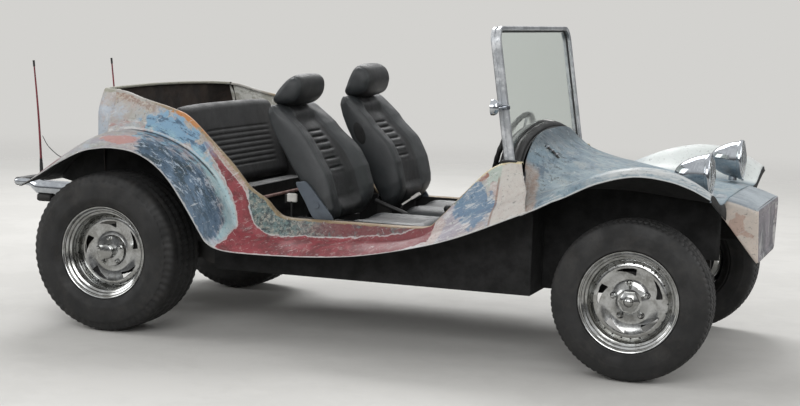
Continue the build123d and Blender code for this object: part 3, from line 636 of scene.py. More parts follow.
finishes = {
    "side": paintFinish("sanded side paint", sideColour),
    "front": paintFinish("sanded hood paint", frontColour),
    "nose": paintFinish("sanded nose paint", noseColour),
    "tail": paintFinish("sanded tail paint", tailColour),
    "inner": plainFinish("raw inner moulding", "1d1815", "2f2620", (0.7, 0.95), grainScale=90.0, grain=0.5),
    "innerSide": innerFinish("raw side moulding"),
    # the underside's black coat, made near black as painted shade
    "under": plainFinish("black underside coat in painted shade", "060606", "0a0a0a", (0.75, 0.95)),
    "chassis": plainFinish("satin black steel", "0d0d0d", "141312", (0.5, 0.75), dust=0.12),
    "steel": plainFinish("worn steel", "6f6c68", "56524d", (0.3, 0.55), 1.0, dust=0.1),
    "alloy": plainFinish("cast engine alloy", "8c8b87", "6f6d68", (0.45, 0.7), 0.9, 20.0, 120.0, 0.5),
    "chrome": plainFinish("chrome plate", "b9bdc1", "a7abb0", (0.04, 0.14), 1.0, 12.0, 60.0, 0.03),
    "dullChrome": plainFinish("dulled wheel chrome", "b3b4b3", "949491", (0.09, 0.24), 1.0, 16.0, 80.0, 0.04),
    "tube": plainFinish("dull screen channel", "c4c6c8", "a5a8ab", (0.30, 0.48), 0.9, 12.0, 120.0, 0.1),
    "rim black": plainFinish("black wheel inside", "0e0e0e", "171615", (0.6, 0.8)),
    "darkHide": hideFinish("black seat vinyl", "0b0c0e", "121315", (0.42, 0.58)),
    # a lighter copy of the seats' black vinyl: painted light on the sides that face the light
    "sunlitHide": hideFinish("black seat vinyl with painted light", "272a2c", "303335", (0.36, 0.52)),
    # the bench's black vinyl, darkened further as painted shade
    "benchHide": hideFinish("black bench vinyl in painted shade", "0a0a0b", "101112", (0.50, 0.68)),
    # blue-grey paint of the fender fronts, darkened as painted shade
    "web": plainFinish("fender front paint darkened as painted shade", "3d454e", "6b757d", (0.35, 0.6), scale=16.0, dust=0.1),
    "hinge": plainFinish("blue-grey hinge cover", "4b535c", "414850", (0.4, 0.55), grain=0.2),
    "ledge": plainFinish("worn ledge paint", "b79790", "8d6a64", (0.6, 0.8), scale=18.0),
    "rubber": rubberFinish("tyre rubber"),
    "trim": plainFinish("black rubber trim", "0a0a0a", "121212", (0.5, 0.7), grain=0.2),
    "glass": glassFinish("screen glass", "eef5f1", 0.0),
    "lampGlass": glassFinish("lamp glass", "f3f6f7", 0.03, 14.0),
    "redLens": plainFinish("red lamp lens", "8c0f12", "7a0a0d", (0.12, 0.2)),
    "redRod": plainFinish("red whip", "7d1f2c", "5d1620", (0.4, 0.6)),
    "dark": plainFinish("black for painted shadows", "060606", "0b0b0b", (0.8, 0.95)),
    "white": plainFinish("white buckle", "d9d8d4", "c7c5c0", (0.35, 0.5)),
    "floor": plainFinish("pale floor", studioTones["floor"], studioTones["floorSecond"], (0.75, 0.9),
                         scale=1.2, grainScale=60.0),
}
print("finishes made:", len(finishes))


# Mesh helpers. A side is the sign of Y: -1 on the car's right, 1 on its left
carSides = {"right": -1, "left": 1}


def curveThrough(points, count, closed=False):
    # Smooth curve through the points, the same number of steps between each two of them
    p = np.asarray(points, float)
    spans = len(p) if closed else len(p) - 1
    at = np.linspace(0, spans, count, endpoint=not closed)
    i = np.minimum(at.astype(int), spans - 1)
    t = (at - i).reshape((-1,) + (1,) * (p.ndim - 1))
    if closed:
        a, b, c, d = (p[(i + k) % len(p)] for k in (-1, 0, 1, 2))
    else:
        extended = np.concatenate([[2 * p[0] - p[1]], p, [2 * p[-1] - p[-2]]])
        a, b, c, d = (extended[i + k] for k in (0, 1, 2, 3))
    doubled = 2 * b + (c - a) * t + (2 * a - 5 * b + 4 * c - d) * t ** 2 + (3 * b - 3 * c + d - a) * t ** 3
    return 0.5 * doubled


def gridFaces(rows, columns, closeRows=False, closeColumns=False, first=0):
    faces = []
    for i in range(rows if closeRows else rows - 1):
        for j in range(columns if closeColumns else columns - 1):
            k, n = (i + 1) % rows, (j + 1) % columns
            faces.append((first + i * columns + j, first + i * columns + n, first + k * columns + n,
                          first + k * columns + j))
    return faces


def makeObject(name, verts, faces, materials, indices=None, sharp=None):
    mesh = bpy.data.meshes.new(name)
    mesh.from_pydata([tuple(v) for v in np.asarray(verts, float)], [], faces)
    for material in materials:
        mesh.materials.append(finishes[material])
    if indices is not None:
        mesh.polygons.foreach_set("material_index", np.asarray(indices, np.int32))
    mesh.polygons.foreach_set("use_smooth", [True] * len(mesh.polygons))
    mesh.update()
    if sharp:
        mesh.set_sharp_from_angle(angle=math.radians(sharp))
    piece = bpy.data.objects.new(name, mesh)
    scene.collection.objects.link(piece)
    return piece


def joinParts(parts):
    # Each part is its points, its faces and the place of its material in the list
    verts, faces, indices = [], [], []
    for points, loops, index in parts:
        first = len(verts)
        verts.extend(np.asarray(points, float).reshape(-1, 3).tolist())
        faces.extend(tuple(first + v for v in loop) for loop in loops)
        indices.extend([index] * len(loops))
    return verts, faces, indices


def gridPart(points, index=0, closeRows=False, closeColumns=False, capRows=False):
    points = np.asarray(points, float)
    rows, columns = points.shape[:2]
    faces = gridFaces(rows, columns, closeRows, closeColumns)
    if capRows:
        faces.append(tuple(range(columns))[::-1])
        faces.append(tuple((rows - 1) * columns + j for j in range(columns)))
    return points.reshape(-1, 3), faces, index


def loftPart(rings, index=0):
    # Rings joined into a closed solid
    return gridPart(rings, index, closeColumns=True, capRows=True)


def sleevePart(rings, index=0):
    # Rings joined without end faces
    return gridPart(rings, index, closeColumns=True)


def fullTurn(count):
    return np.linspace(0, 2 * math.pi, count, endpoint=False)


def ringsAlong(path, outline, closed=False):
    # A section outline carried along a path without twisting
    path = np.asarray(path, float)
    ahead = np.gradient(path, axis=0)
    if closed:
        ahead = np.roll(path, -1, 0) - np.roll(path, 1, 0)
    ahead /= np.linalg.norm(ahead, axis=1)[:, None]
    side = np.cross(ahead[0], (0, 0, 1) if abs(ahead[0][2]) < 0.9 else (1, 0, 0))
    rings = []
    for place, t in zip(path, ahead):
        side = side - t * side.dot(t)
        side /= np.linalg.norm(side)
        other = np.cross(t, side)
        rings.append(place + np.outer(outline[:, 0], side) + np.outer(outline[:, 1], other))
    return np.array(rings)


def roundOutline(radius, sides=16, flat=1.0):
    turn = fullTurn(sides)
    return np.stack([np.cos(turn) * radius, np.sin(turn) * radius * flat], 1)


def tubePart(path, radius, sides=16, index=0, closed=False):
    rings = ringsAlong(path, roundOutline(radius, sides), closed)
    return gridPart(rings, index, closeRows=closed, closeColumns=True, capRows=not closed)


def rodPart(a, b, radius, sides=16, index=0):
    return tubePart(np.linspace(a, b, 3), radius, sides, index)


def boxPart(low, high, index=0, chamfer=0.0):
    # A box with chamfered upright and level edges, as three nested slabs
    low, high = np.array(low, float), np.array(high, float)
    c = min(chamfer, 0.45 * (high - low).min())
    rings = []
    for z, inset in ((low[2], c), (low[2] + c, 0.0), (high[2] - c, 0.0), (high[2], c)):
        x0, y0, x1, y1 = low[0] + inset, low[1] + inset, high[0] - inset, high[1] - inset
        rings.append([(x0 + c, y0, z), (x1 - c, y0, z), (x1, y0 + c, z), (x1, y1 - c, z),
                      (x1 - c, y1, z), (x0 + c, y1, z), (x0, y1 - c, z), (x0, y0 + c, z)])
    return loftPart(rings, index)


def latheGrid(profile, centre, segments, side, cross=0.0):
    # Profile points are (radius, distance inboard); side is -1 on the car's right
    turn = fullTurn(segments) * -side
    profile = np.asarray(profile, float)
    x = centre[0] + np.outer(np.cos(turn), profile[:, 0])
    z = centre[2] + np.outer(np.sin(turn), profile[:, 0])
    y = np.broadcast_to(centre[1] - side * profile[:, 1], x.shape)
    return np.stack([x, y, z], -1)


def mirrored(points):
    return np.asarray(points, float) * (1, -1, 1)


def reversedLoops(loops):
    return [loop[::-1] for loop in loops]


def loopsOn(side, loops):
    # Faces of the car's right side, turned round where they are mirrored to its left
    return loops if side == -1 else reversedLoops(loops)


def flipOutward(mesh):
    work = bmesh.new()
    work.from_mesh(mesh)
    bmesh.ops.recalc_face_normals(work, faces=work.faces)
    work.to_mesh(mesh)
    work.free()


def settle(piece, body="chassis", replaces=()):
    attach(piece, body)
    if replaces:
        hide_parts(*replaces)
    return piece


def thicken(piece, thickness, offset=-1.0, inner=1, rim=0):
    shell = piece.modifiers.new("moulding", "SOLIDIFY")
    shell.thickness = thickness
    shell.offset = offset
    shell.use_even_offset = False
    shell.material_offset = inner
    shell.material_offset_rim = rim
    return shell


def storeValues(piece, name, values):
    made = piece.data.attributes.new(name, "FLOAT", "POINT")
    made.data.foreach_set("value", np.asarray(values, np.float32).ravel())


def makePiece(name, parts, materials, sharp=None, body="chassis", replaces=(), flip=True):
    verts, faces, indices = joinParts(parts)
    piece = makeObject(name, verts, faces, materials, indices, sharp)
    if flip:
        flipOutward(piece.data)
    return settle(piece, body, replaces)


def roundEnd(share):
    # How far a cushion's section has opened, from the share of its end that is passed
    return math.sqrt(max(0.0, 1 - (1 - min(share, 1)) ** 2))


def outlineDistance(points, outline):
    # Distance of side-view points to a closed outline, positive inside it
    p = np.asarray(points, float).reshape(-1, 2)
    loop = np.asarray(outline, float)
    best = np.full(len(p), 1e9)
    inside = np.zeros(len(p), bool)
    for a, b in zip(loop, np.roll(loop, -1, 0)):
        t = np.clip(((p - a) @ (b - a)) / ((b - a) @ (b - a)), 0, 1)
        best = np.minimum(best, np.linalg.norm(p - a - t[:, None] * (b - a), axis=1))
        crosses = (a[1] > p[:, 1]) != (b[1] > p[:, 1])
        rise = b[1] - a[1] if b[1] != a[1] else 1e-9
        inside ^= crosses & (p[:, 0] < (b[0] - a[0]) * (p[:, 1] - a[1]) / rise + a[0])
    return np.where(inside, best, -best)


# Body side: quarter, rear fender, sill and screen pod in one skin. Guide lines run along the
# car as (x, y, z) on its right side, from the tail to the seam beside the hood.
sideShell = {
    "behind": 3, "steps": 9, "thickness": 0.005, "rimColumn": 7, "creaseColumn": 24,
    "archStations": 13, "archCount": 70, "archReach": (0.0, 0.05, 0.10, 0.145),
    "rim": [(-1.128, .600, 1.093), (-1.06, .612, 1.084), (-.96, .632, 1.057), (-.82, .650, 1.025),
            (-.725, .655, .989), (-.615, .655, .893), (-.50, .655, .785), (-.414, .655, .690),
            (-.335, .652, .638), (-.293, .645, .588), (-.245, .640, .562), (-.10, .640, .560),
            (.07, .640, .561), (.22, .640, .561), (.34, .640, .563), (.425, .640, .572),
            (.475, .640, .614), (.575, .638, .722), (.68, .632, .828), (.76, .624, .868), (.824, .620, .872)],
    "ridge": [(-1.128, .660, .985), (-1.07, .660, .990), (-.975, .660, .984), (-.85, .660, .965),
              (-.755, .660, .926), (-.655, .660, .855), (-.555, .660, .765), (-.458, .661, .670),
              (-.395, .662, .598), (-.352, .664, .552), (-.300, .667, .510), (-.20, .668, .485),
              (0, .668, .487), (.17, .668, .495), (.31, .668, .506), (.42, .668, .536),
              (.49, .664, .60), (.59, .660, .68), (.69, .660, .76), (.775, .660, .80), (.845, .660, .815)],
    "crease": [(-1.455, .665, .672), (-1.365, .665, .767), (-1.245, .665, .848),
               (-1.130, .665, .893), (-1.07, .665, .905), (-1.0, .665, .912), (-.89, .665, .900),
               (-.79, .665, .868), (-.695, .665, .822), (-.61, .665, .752), (-.545, .665, .672),
               (-.508, .665, .598), (-.485, .668, .535), (-.435, .680, .487), (-.30, .695, .474),
               (-.06, .705, .472), (.14, .705, .482), (.30, .705, .502), (.42, .705, .530),
               (.50, .702, .560), (.60, .70, .615), (.70, .70, .670), (.79, .70, .717), (.872, .70, .757)],
    "lip": [(-1.487, .842, .643), (-1.400, .842, .693), (-1.290, .842, .760), (-1.175, .842, .816),
            (-1.09, .842, .836), (-1.005, .842, .842), (-.90, .842, .829), (-.81, .842, .787),
            (-.735, .842, .724), (-.675, .842, .648), (-.618, .842, .566), (-.576, .842, .502),
            (-.537, .838, .449), (-.468, .825, .419), (-.33, .808, .411), (-.08, .800, .417),
            (.12, .800, .435), (.28, .800, .463), (.42, .800, .496), (.52, .800, .524),
            (.62, .800, .559), (.72, .800, .600), (.82, .800, .644), (.90, .800, .678)],
    "shelf": [.020] * 8 + [.026, .038, .050] + [.056] * 5 + [.050, .044, .038, .036, .034],
    "bulge": [.004, .006, .010, .022] + [.026] * 7
             + [.024, .018, .011, .007, .005, .004, .004, .004, .006, .010, .012, .012, .010],
}
paintZones = {
    # closed outlines in side view, as (x, z)
    "redZone": [(-.662, .905), (-.610, .822), (-.556, .748), (-.502, .660), (-.476, .590), (-.462, .515),
                (-.476, .462), (-.520, .425), (-.40, .398), (0, .405), (.30, .462), (.47, .520), (.46, .60),
                (.30, .530), (.10, .501), (-.238, .484), (-.331, .490), (-.385, .531), (-.411, .593),
                (-.432, .668), (-.500, .742), (-.560, .806)],
    "slateZone": [(-.905, .900), (-.80, .868), (-.700, .820), (-.616, .752), (-.552, .672), (-.512, .600),
                  (-.492, .535), (-.505, .470), (-.575, .455), (-.61, .52), (-.70, .66), (-.78, .745),
                  (-.89, .80)],
    "paleZone": [(-.935, 1.01), (-.80, .985), (-.690, .925), (-.628, .858), (-.60, .78), (-.66, .795),
                 (-.72, .838), (-.82, .882), (-.93, .908)],
    "cyanZone": [(-.69, .88), (-.625, .812), (-.565, .740), (-.512, .655), (-.484, .588), (-.470, .520),
                 (-.482, .465), (-.505, .470), (-.500, .535), (-.520, .605), (-.562, .680), (-.625, .760),
                 (-.70, .83)],
    "flankZone": [(-.432, .668), (-.500, .742), (-.560, .806), (-.640, .905), (-.68, .97), (-.615, .905),
                  (-.50, .79), (-.41, .70)],
    "shelfZone": [(-.42, .70), (-.36, .66), (-.28, .585), (-.19, .60), (.43, .60), (.455, .535), (.30, .512),
                  (.10, .499), (-.238, .482), (-.331, .488), (-.385, .528), (-.411, .593)],
}


def acrossSide(i, j, r, w, c, k, e, f):
    # Points across the skin at one station: inner return, rim, ridge, crease, crown and lip
    def straight(a, b, n):
        return [a + (b - a) * s for s in np.linspace(0, 1, n, endpoint=False)]
    control = 2 * k - (c + e) / 2
    roll = [c * (1 - s) ** 2 + control * 2 * s * (1 - s) + e * s * s for s in np.linspace(0, 1, 15)]
    return straight(j, i, 2) + straight(i, r, 5) + straight(r, w, 9) + straight(w, c, 8) + roll + [f]


def sideGuides():
    s = sideShell
    count = (len(s["lip"]) - 1) * s["steps"] + 1
    hidden = s["behind"]
    lines = {}
    for key in ("rim", "ridge", "crease", "lip"):
        table = [(x, -y, z) for x, y, z in s[key]]
        if key in ("rim", "ridge"):
            table = [s["crease"][k] for k in range(hidden)] + table
            table = [(x, -abs(y), z) for x, y, z in table]
        lines[key] = curveThrough(table, count)
    # the rim and ridge start at the tail, so their first stretch is made on its own
    for key in ("rim", "ridge"):
        own = curveThrough([(x, -y, z) for x, y, z in s[key]], count - hidden * s["steps"])
        lines[key][hidden * s["steps"]:] = own
    wide = curveThrough([[v] for v in [s["shelf"][0]] * hidden + s["shelf"]], count)
    bulge = curveThrough([[v] for v in s["bulge"]], count)
    return lines, wide, bulge, count, hidden * s["steps"]


def makeSides():
    s = sideShell
    lines, wide, bulge, count, hiddenRows = sideGuides()
    rim, ridge, crease, lip = (lines[key] for key in ("rim", "ridge", "crease", "lip"))
    inward = rim + wide * (0, 1, 0)
    back = inward - (0, 0, 0.012)
    chord = lip - crease
    out = np.cross(np.gradient((crease + lip) / 2, axis=0), chord)
    out /= np.linalg.norm(out, axis=1)[:, None]
    out *= np.sign(out @ np.array((0, -1.0, 1.0)))[:, None]
    crown = (crease + lip) / 2 + out * bulge
    fold = lip + (0, 0.012, -0.001)
    rows = [acrossSide(*args) for args in zip(inward, back, rim, ridge, crease, crown, lip, fold)]
    grid = np.array(rows)
    creaseColumn, last = s["creaseColumn"], grid.shape[1] - 2
    # soften the folds a little, keeping the rim's and the lip's edges
    for _ in range(2):
        inside = (grid[:, :-2] + grid[:, 2:] + 2 * grid[:, 1:-1]) / 4
        grid[:, 1:last] = inside[:, :last - 1]
    step = np.linalg.norm(np.diff(grid, axis=1), axis=2)
    run = np.concatenate([np.zeros((count, 1)), np.cumsum(step, 1)], 1)
    rimColumn = s["rimColumn"]
    length = np.linalg.norm(np.diff(crease, axis=0, prepend=crease[:1]), axis=1).cumsum()
    values = {"rimAway": np.abs(run - run[:, rimColumn:rimColumn + 1]),
              "lipAway": run[:, last:last + 1] - run,
              "creaseAway": run - run[:, creaseColumn:creaseColumn + 1],
              "alongRun": np.repeat(length[:, None], grid.shape[1], 1)}
    values["rimAway"][:, :rimColumn] = 0
    for key, outline in paintZones.items():
        values[key] = outlineDistance(grid[:, :, [0, 2]], outline).reshape(grid.shape[:2])
    columns = grid.shape[1]
    faces = [loop for loop in gridFaces(count, columns)
             if loop[0] // columns >= hiddenRows or loop[0] % columns >= creaseColumn]
    used = sorted({v for loop in faces for v in loop})
    place = {v: k for k, v in enumerate(used)}
    faces = [tuple(place[v] for v in loop) for loop in faces]
    for name, side in carSides.items():
        points = grid.reshape(-1, 3)[used]
        if side == 1:
            points = mirrored(points)
        loops = loopsOn(side, faces)
        piece = makeObject("body_side_" + name, points, loops, ["side", "innerSide"])
        for key, table in values.items():
            storeValues(piece, key, table.reshape(-1)[used])
        thicken(piece, s["thickness"])
        settle(piece, "chassis", ["quarter_panel_" + name, "rear_fender_" + name])
        # the arch's roof runs inward from the crease over the tyre
        arch = curveThrough([(x, -y, z) for x, y, z in s["crease"][:s["archStations"]]], s["archCount"])
        roof = np.stack([arch + (0, dy, 0) for dy in s["archReach"]])
        roof = roof if side == -1 else mirrored(roof)
        points, loops, _ = gridPart(roof)
        loops = loopsOn(side, loops)
        roofPiece = makeObject("wheel_arch_roof_" + name, points, loops, ["tail", "under"])
        storeValues(roofPiece, "rimAway", np.ones(len(points)))
        thicken(roofPiece, s["thickness"], 0.0, 1)
        settle(roofPiece, "chassis", ())
    print("body sides made")


# Tail wall with rounded corners
tailWall = {"x": -1.226, "half": 0.660, "corner": 0.100, "low": 0.86, "midLow": 0.70, "inside": 0.53,
            "top": 1.093, "lipWidth": 0.022, "thickness": 0.005, "drawn": 0.092, "drawFrom": 0.985,
            "drawPower": 1.3,
            # how far in front of the well's end, front, half width, bottom and top of the deck
            "deck": (0.006, -0.835, 0.513, 0.720, 0.726)}


def makeTail():
    s = tailWall
    turn = np.linspace(0, math.pi / 2, 19)
    cornerY = s["half"] - s["corner"]
    right = np.stack([s["x"] + s["corner"] - s["corner"] * np.sin(turn),
                      -(cornerY + s["corner"] * np.cos(turn))], 1)
    middle = np.stack([np.full(60, s["x"]), np.linspace(-cornerY, cornerY, 60)], 1)[1:-1]
    left = right[::-1] * (1, -1)
    under = np.array([(s["x"] + s["corner"] + 0.020, -s["half"] + 0.005)])
    plan = np.concatenate([under, right, middle, left, under * (1, -1)])
    rows = []
    for x, y in plan:
        low = s["low"] if abs(y) > s["inside"] else s["midLow"]
        crown = s["top"] + 0.010 * math.cos(y / s["half"] * math.pi / 2)
        heights = np.linspace(low, crown - 0.01, 24)
        rise = np.clip((heights - s["drawFrom"]) / (s["top"] - s["drawFrom"]), 0, 1)
        draw = 1 - s["drawn"] * rise ** s["drawPower"]
        column = [(x, y * d, z) for z, d in zip(heights, draw)]
        y *= 1 - s["drawn"]
        inX = 1.0 if abs(y) < cornerY else (s["x"] + s["corner"] - x) / s["corner"]
        inY = -math.copysign(1.0, y) * max(0.0, (abs(y) / (1 - s["drawn"]) - cornerY) / s["corner"])
        wide = s["lipWidth"]
        for reach, z in ((0.002, crown - 0.003), (0.007, crown), (wide, crown), (wide, crown - 0.012)):
            column.append((x + inX * reach, y + inY * reach, z))
        rows.append(column)
    grid = np.array(rows)
    points, loops, _ = gridPart(grid)
    piece = makeObject("tail_wall", points, loops, ["tail", "inner"])
    storeValues(piece, "rimAway", (s["top"] - grid[:, :, 2]).clip(0).reshape(-1))
    thicken(piece, s["thickness"], rim=1)
    settle(piece, "chassis", ["luggage_well"])
    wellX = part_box("luggage_well")[0][0]
    back, front, aside, low, high = s["deck"]
    points, loops, _ = boxPart((wellX + back, -aside, low), (front, aside, high))
    shelf = makeObject("luggage_deck", points, loops, ["inner"], sharp=30)
    settle(shelf, "chassis", ())
    print("tail made")


# Hood and front fenders. Each row is x, then y and z of the half section from the crown outwards.
frontShell = {
    "thickness": 0.005, "along": 90, "across": 121, "seamLean": 0.223, "seamFrom": 0.48,
    "panelY": (-.358, .358), "panelFoot": [(.800, .300), (1.165, .300), (1.195, .480), (1.634, .480)],
    "catch": ((.846, -.316, .918), (.912, -.327, .869)),
    "panelTop": [(1.634, .728), (1.47, .738), (1.335, .758), (1.18, .780), (1.04, .800), (.92, .838),
                 (.85, .880), (.80, .900)],
    "rows": [
        (.800, (0, .17, .31, .42, .51, .60, .69, .775, .80),
         (.984, .981, .962, .912, .832, .755, .708, .690, .665)),
        (.850, (0, .17, .30, .40, .50, .59, .69, .775, .80),
         (.944, .940, .921, .880, .815, .757, .722, .703, .681)),
        (.920, (0, .17, .29, .39, .49, .58, .69, .775, .80),
         (.898, .894, .876, .843, .796, .760, .745, .728, .702)),
        (1.04, (0, .16, .27, .37, .47, .57, .69, .775, .80),
         (.862, .857, .842, .815, .782, .772, .797, .782, .746)),
        (1.18, (0, .16, .26, .35, .45, .56, .69, .775, .80),
         (.836, .831, .818, .798, .775, .786, .850, .846, .814)),
        (1.335, (0, .15, .25, .34, .44, .56, .69, .775, .80),
         (.806, .802, .792, .777, .762, .796, .880, .885, .854)),
        (1.47, (0, .15, .25, .34, .44, .56, .69, .775, .80),
         (.780, .777, .768, .757, .748, .784, .872, .876, .846)),
        (1.57, (0, .15, .25, .34, .43, .55, .69, .775, .80),
         (.763, .760, .753, .746, .740, .760, .834, .844, .818)),
        (1.65, (0, .15, .25, .34, .43, .55, .69, .775, .80),
         (.752, .750, .747, .744, .735, .742, .786, .799, .780)),
    ],
}


def makeFront():
    s = frontShell
    xs = [[row[0]] for row in s["rows"]]
    halves = np.array([list(zip(*row[1:])) for row in s["rows"]])
    along = curveThrough(halves, s["along"])
    places = curveThrough(xs, s["along"])[:, 0]
    grid = []
    for x, half in zip(places, along):
        full = np.concatenate([half[::-1] * (-1, 1), half[1:]])
        section = curveThrough(full, s["across"])
        fade = np.clip((1.0 - x) / 0.2, 0, 1)
        lean = np.clip(np.abs(section[:, 0]) - s["seamFrom"], 0, None) * s["seamLean"] * fade
        grid.append(np.stack([x + lean + 0.004, section[:, 0], section[:, 1]], 1))
    grid = np.array(grid)
    fold = grid[:, [0, -1]] + np.array([[0, 0.012, -0.002], [0, -0.012, -0.002]])
    grid = np.concatenate([fold[:, :1], grid, fold[:, 1:]], 1)
    step = np.linalg.norm(np.diff(grid, axis=1), axis=2)
    run = np.concatenate([np.zeros((len(grid), 1)), np.cumsum(step, 1)], 1)
    away = np.minimum(run, run[:, -1:] - run) - 0.012
    points, loops, _ = gridPart(grid)
    piece = makeObject("hood_and_fenders", points, reversedLoops(loops), ["front", "under"])
    storeValues(piece, "lipAway", away)
    thicken(piece, s["thickness"])
    settle(piece, "chassis", ["front_clip"])
    # inner panels under the hood, kept clear of its skin, and a small sprung catch on its near side
    panels = []
    for y in s["panelY"]:
        panels.append(slabPart(s["panelFoot"] + s["panelTop"], y - .002, y + .002))
    makePiece("hood_inner_panels", panels, ["under"],
              replaces=["front_inner_panels"])
    first, last = (np.array(place) for place in s["catch"])
    path = np.linspace(first, last, 9)
    path[:, 2] += .004 + .006 * np.sin(np.linspace(0, math.pi, 9))
    parts = [loftPart(ringsAlong(path, roundOutline(.0085, 14, .45)))]
    for t in (.18, .5, .82):
        middle = first + (last - first) * t + (0, 0, .010)
        aside = np.cross(last - first, (0, 0, 1.0))
        aside *= .013 / np.linalg.norm(aside)
        parts.append(rodPart(middle - aside, middle + aside, .0048, 10, 1))
    makePiece("hood_catch", parts, ["trim", "chrome"], sharp=50)
    print("hood and fenders made")


noseShell = {
    # x, half width and height of the top edge, half width and height of the bottom edge
    "rows": [(1.600, .350, .750, .340, .690), (1.640, .345, .746, .332, .655),
             (1.700, .340, .731, .306, .575), (1.760, .334, .711, .272, .490),
             (1.779, .331, .705, .262, .466)],
    "round": 0.024, "thickness": 0.005, "frontX": 1.7865, "faceBack": 0.010,
    # inset of each ring of the front face from its outer edge, and how far back it lies
    "face": [(0.0, 0.006), (0.003, 0.0018), (0.009, 0.0), (0.017, 0.0005), (0.023, 0.004), (0.028, 0.009),
             (0.034, 0.010), (0.060, 0.010), (0.090, 0.0097)],
}


def noseSection(halfTop, top, halfLow, low, radius):
    # From the right bottom edge over the top to the left one, with rounded top corners
    a, b = np.array((halfLow, low)), np.array((halfTop, top))
    up = (b - a) / np.linalg.norm(b - a)
    side = [a + up * t for t in np.linspace(0, np.linalg.norm(b - a) - radius, 12)]
    turn = np.linspace(0, math.pi / 2, 7)[1:]
    start, end = side[-1], b - (radius, 0)
    corner = [b + (start - b) * (1 - math.sin(t)) + (end - b) * (1 - math.cos(t)) for t in turn]
    half = np.array(side + corner)
    middle = np.stack([np.linspace(half[-1][0], -half[-1][0], 28)[1:-1], np.full(26, top)], 1)
    middle[:, 1] += 0.004 * np.cos(middle[:, 0] / halfTop * math.pi / 2)
    return np.concatenate([half, middle, half[::-1] * (-1, 1)]) * (-1, 1)


def noseFace(inset):
    # The front outline moved in: a wide top, a narrower foot and rounded corners
    halfTop, top, halfLow, low = noseShell["rows"][-1][1:]
    slope = (halfTop - halfLow) / (top - low)
    high, floor = top - inset, low + inset
    corners = [(-(halfLow + slope * (floor - low)) + inset, floor), (-halfTop + slope * inset + inset, high),
               (halfTop - slope * inset - inset, high), (halfLow + slope * (floor - low) - inset, floor)]
    radius = max(.004, noseShell["round"] - inset * .3)
    ring = []
    for k in range(4):
        here, before, after = (np.array(corners[(k + d) % 4]) for d in (0, -1, 1))
        start = here + (before - here) / np.linalg.norm(before - here) * radius
        end = here + (after - here) / np.linalg.norm(after - here) * radius
        for t in np.linspace(0, math.pi / 2, 7):
            ring.append(here + (start - here) * (1 - math.sin(t)) + (end - here) * (1 - math.cos(t)))
        nextStart = after + (here - after) / np.linalg.norm(here - after) * radius
        ring += [end + (nextStart - end) * t for t in np.linspace(0, 1, 14)[1:-1]]
    return np.array(ring)


def makeNose():
    s = noseShell
    table = curveThrough(np.array(s["rows"]), 30)
    rings = [[(x, y, z) for y, z in noseSection(a, b, c, d, s["round"])] for x, a, b, c, d in table]
    points, loops, _ = gridPart(np.array(rings))
    piece = makeObject("nose_shell", points, reversedLoops(loops), ["nose", "under"])
    thicken(piece, s["thickness"])
    settle(piece, "chassis", ["nose_panel"])
    rings = [[(s["frontX"] - back, y, z) for y, z in noseFace(inset)] for inset, back in s["face"]]
    rings.insert(0, [(s["rows"][-1][0] - .004, y, z) for y, z in noseFace(0.0005)])
    points, loops, _ = loftPart(np.array(rings))
    face = makeObject("nose_front_face", points, loops, ["nose"])
    flipOutward(face.data)
    settle(face, "chassis", ())
    # the closing web between each fender's front edge and the side of the nose
    for name, side in carSides.items():
        half = list(zip(*frontShell["rows"][-1][1:]))[::-1]
        top = curveThrough([(1.654, -y, z - .003) for y, z in half if y > .36], 26)
        low = np.linspace((1.652, -.80, .774), (1.650, -.345, .652), 26)
        web = np.array([top + (low - top) * t for t in np.linspace(0, 1, 8)])
        web[:, :, 0] += 0.005 * np.sin(np.linspace(0, math.pi, 8))[:, None]
        web = web if side == -1 else mirrored(web)
        points, loops, _ = gridPart(web)
        loops = loopsOn(side, loops)
        flat = makeObject("fender_web_" + name, points, loops, ["web", "under"])
        thicken(flat, 0.004, 0.0, 1)
        settle(flat, "chassis", ["nose_webs"] if side == -1 else ())
    print("nose made")


cowl = {"arch": [(-.545, .800), (-.500, .872), (-.405, .940), (-.21, .984), (0, .999), (.21, .984),
                 (.405, .940), (.500, .872), (.545, .800)], "x": 0.768, "radius": 0.021}


def makeCowl():
    s = cowl
    arch = curveThrough([(0, y, z) for y, z in s["arch"]], 90)
    parts = []
    tubes = (s["x"], s["radius"], 0.010), (s["x"] - 0.040, 0.018, 0.004), (s["x"] + 0.024, 0.006, 0.018)
    for x, radius, lower in tubes:
        path = arch + (x, 0, -lower)
        parts.append(tubePart(path, radius, 14))
    makePiece("cowl_pad", parts, ["trim"], flip=False)
    print("cowl made")


# Road wheels. columns: axle x, tyre radius, lip plane, rim width, hub face depth, tyre bulge, tread blocks
wheelTable = {
    "front": (1.335, .337, .762, .190, .042, .004, 80),
    "rear": (-1.065, .363, .817, .265, .085, .022, 66),
}
rimDesign = {"lip": .211, "slots": 5, "segments": 120, "rivets": 25, "rivetRadius": .157, "nuts": 5,
             # radius and degrees clockwise from the top: the blunt end first, then the swept tip
             "slot": ((.136, 10), (.1375, 4), (.1375, -12), (.1370, -22), (.1350, -28), (.128, -20),
                      (.120, -8), (.112, 2), (.107, 8), (.110, 10.6))}
# Hub caps as (radius, depth from the hub face). Facets: sides of the cap's own prism
hubTable = {
    "front": {"nutCircle": .073, "nutDepth": 0, "facets": 6,
              "prism": [(.022, -.034), (.030, -.033), (.044, -.022), (.046, -.004)],
              "cap": [(.0001, -.046), (.008, -.046), (.014, -.043), (.022, -.033), (.024, -.028)]},
    "rear": {"nutCircle": .058, "nutDepth": -.014, "facets": 48,
             "prism": [(.034, -.018), (.040, -.017), (.068, -.013), (.071, -.009), (.072, .002)],
             "cap": [(.0001, -.058), (.024, -.058), (.031, -.055), (.034, -.048), (.034, -.018)]},
}


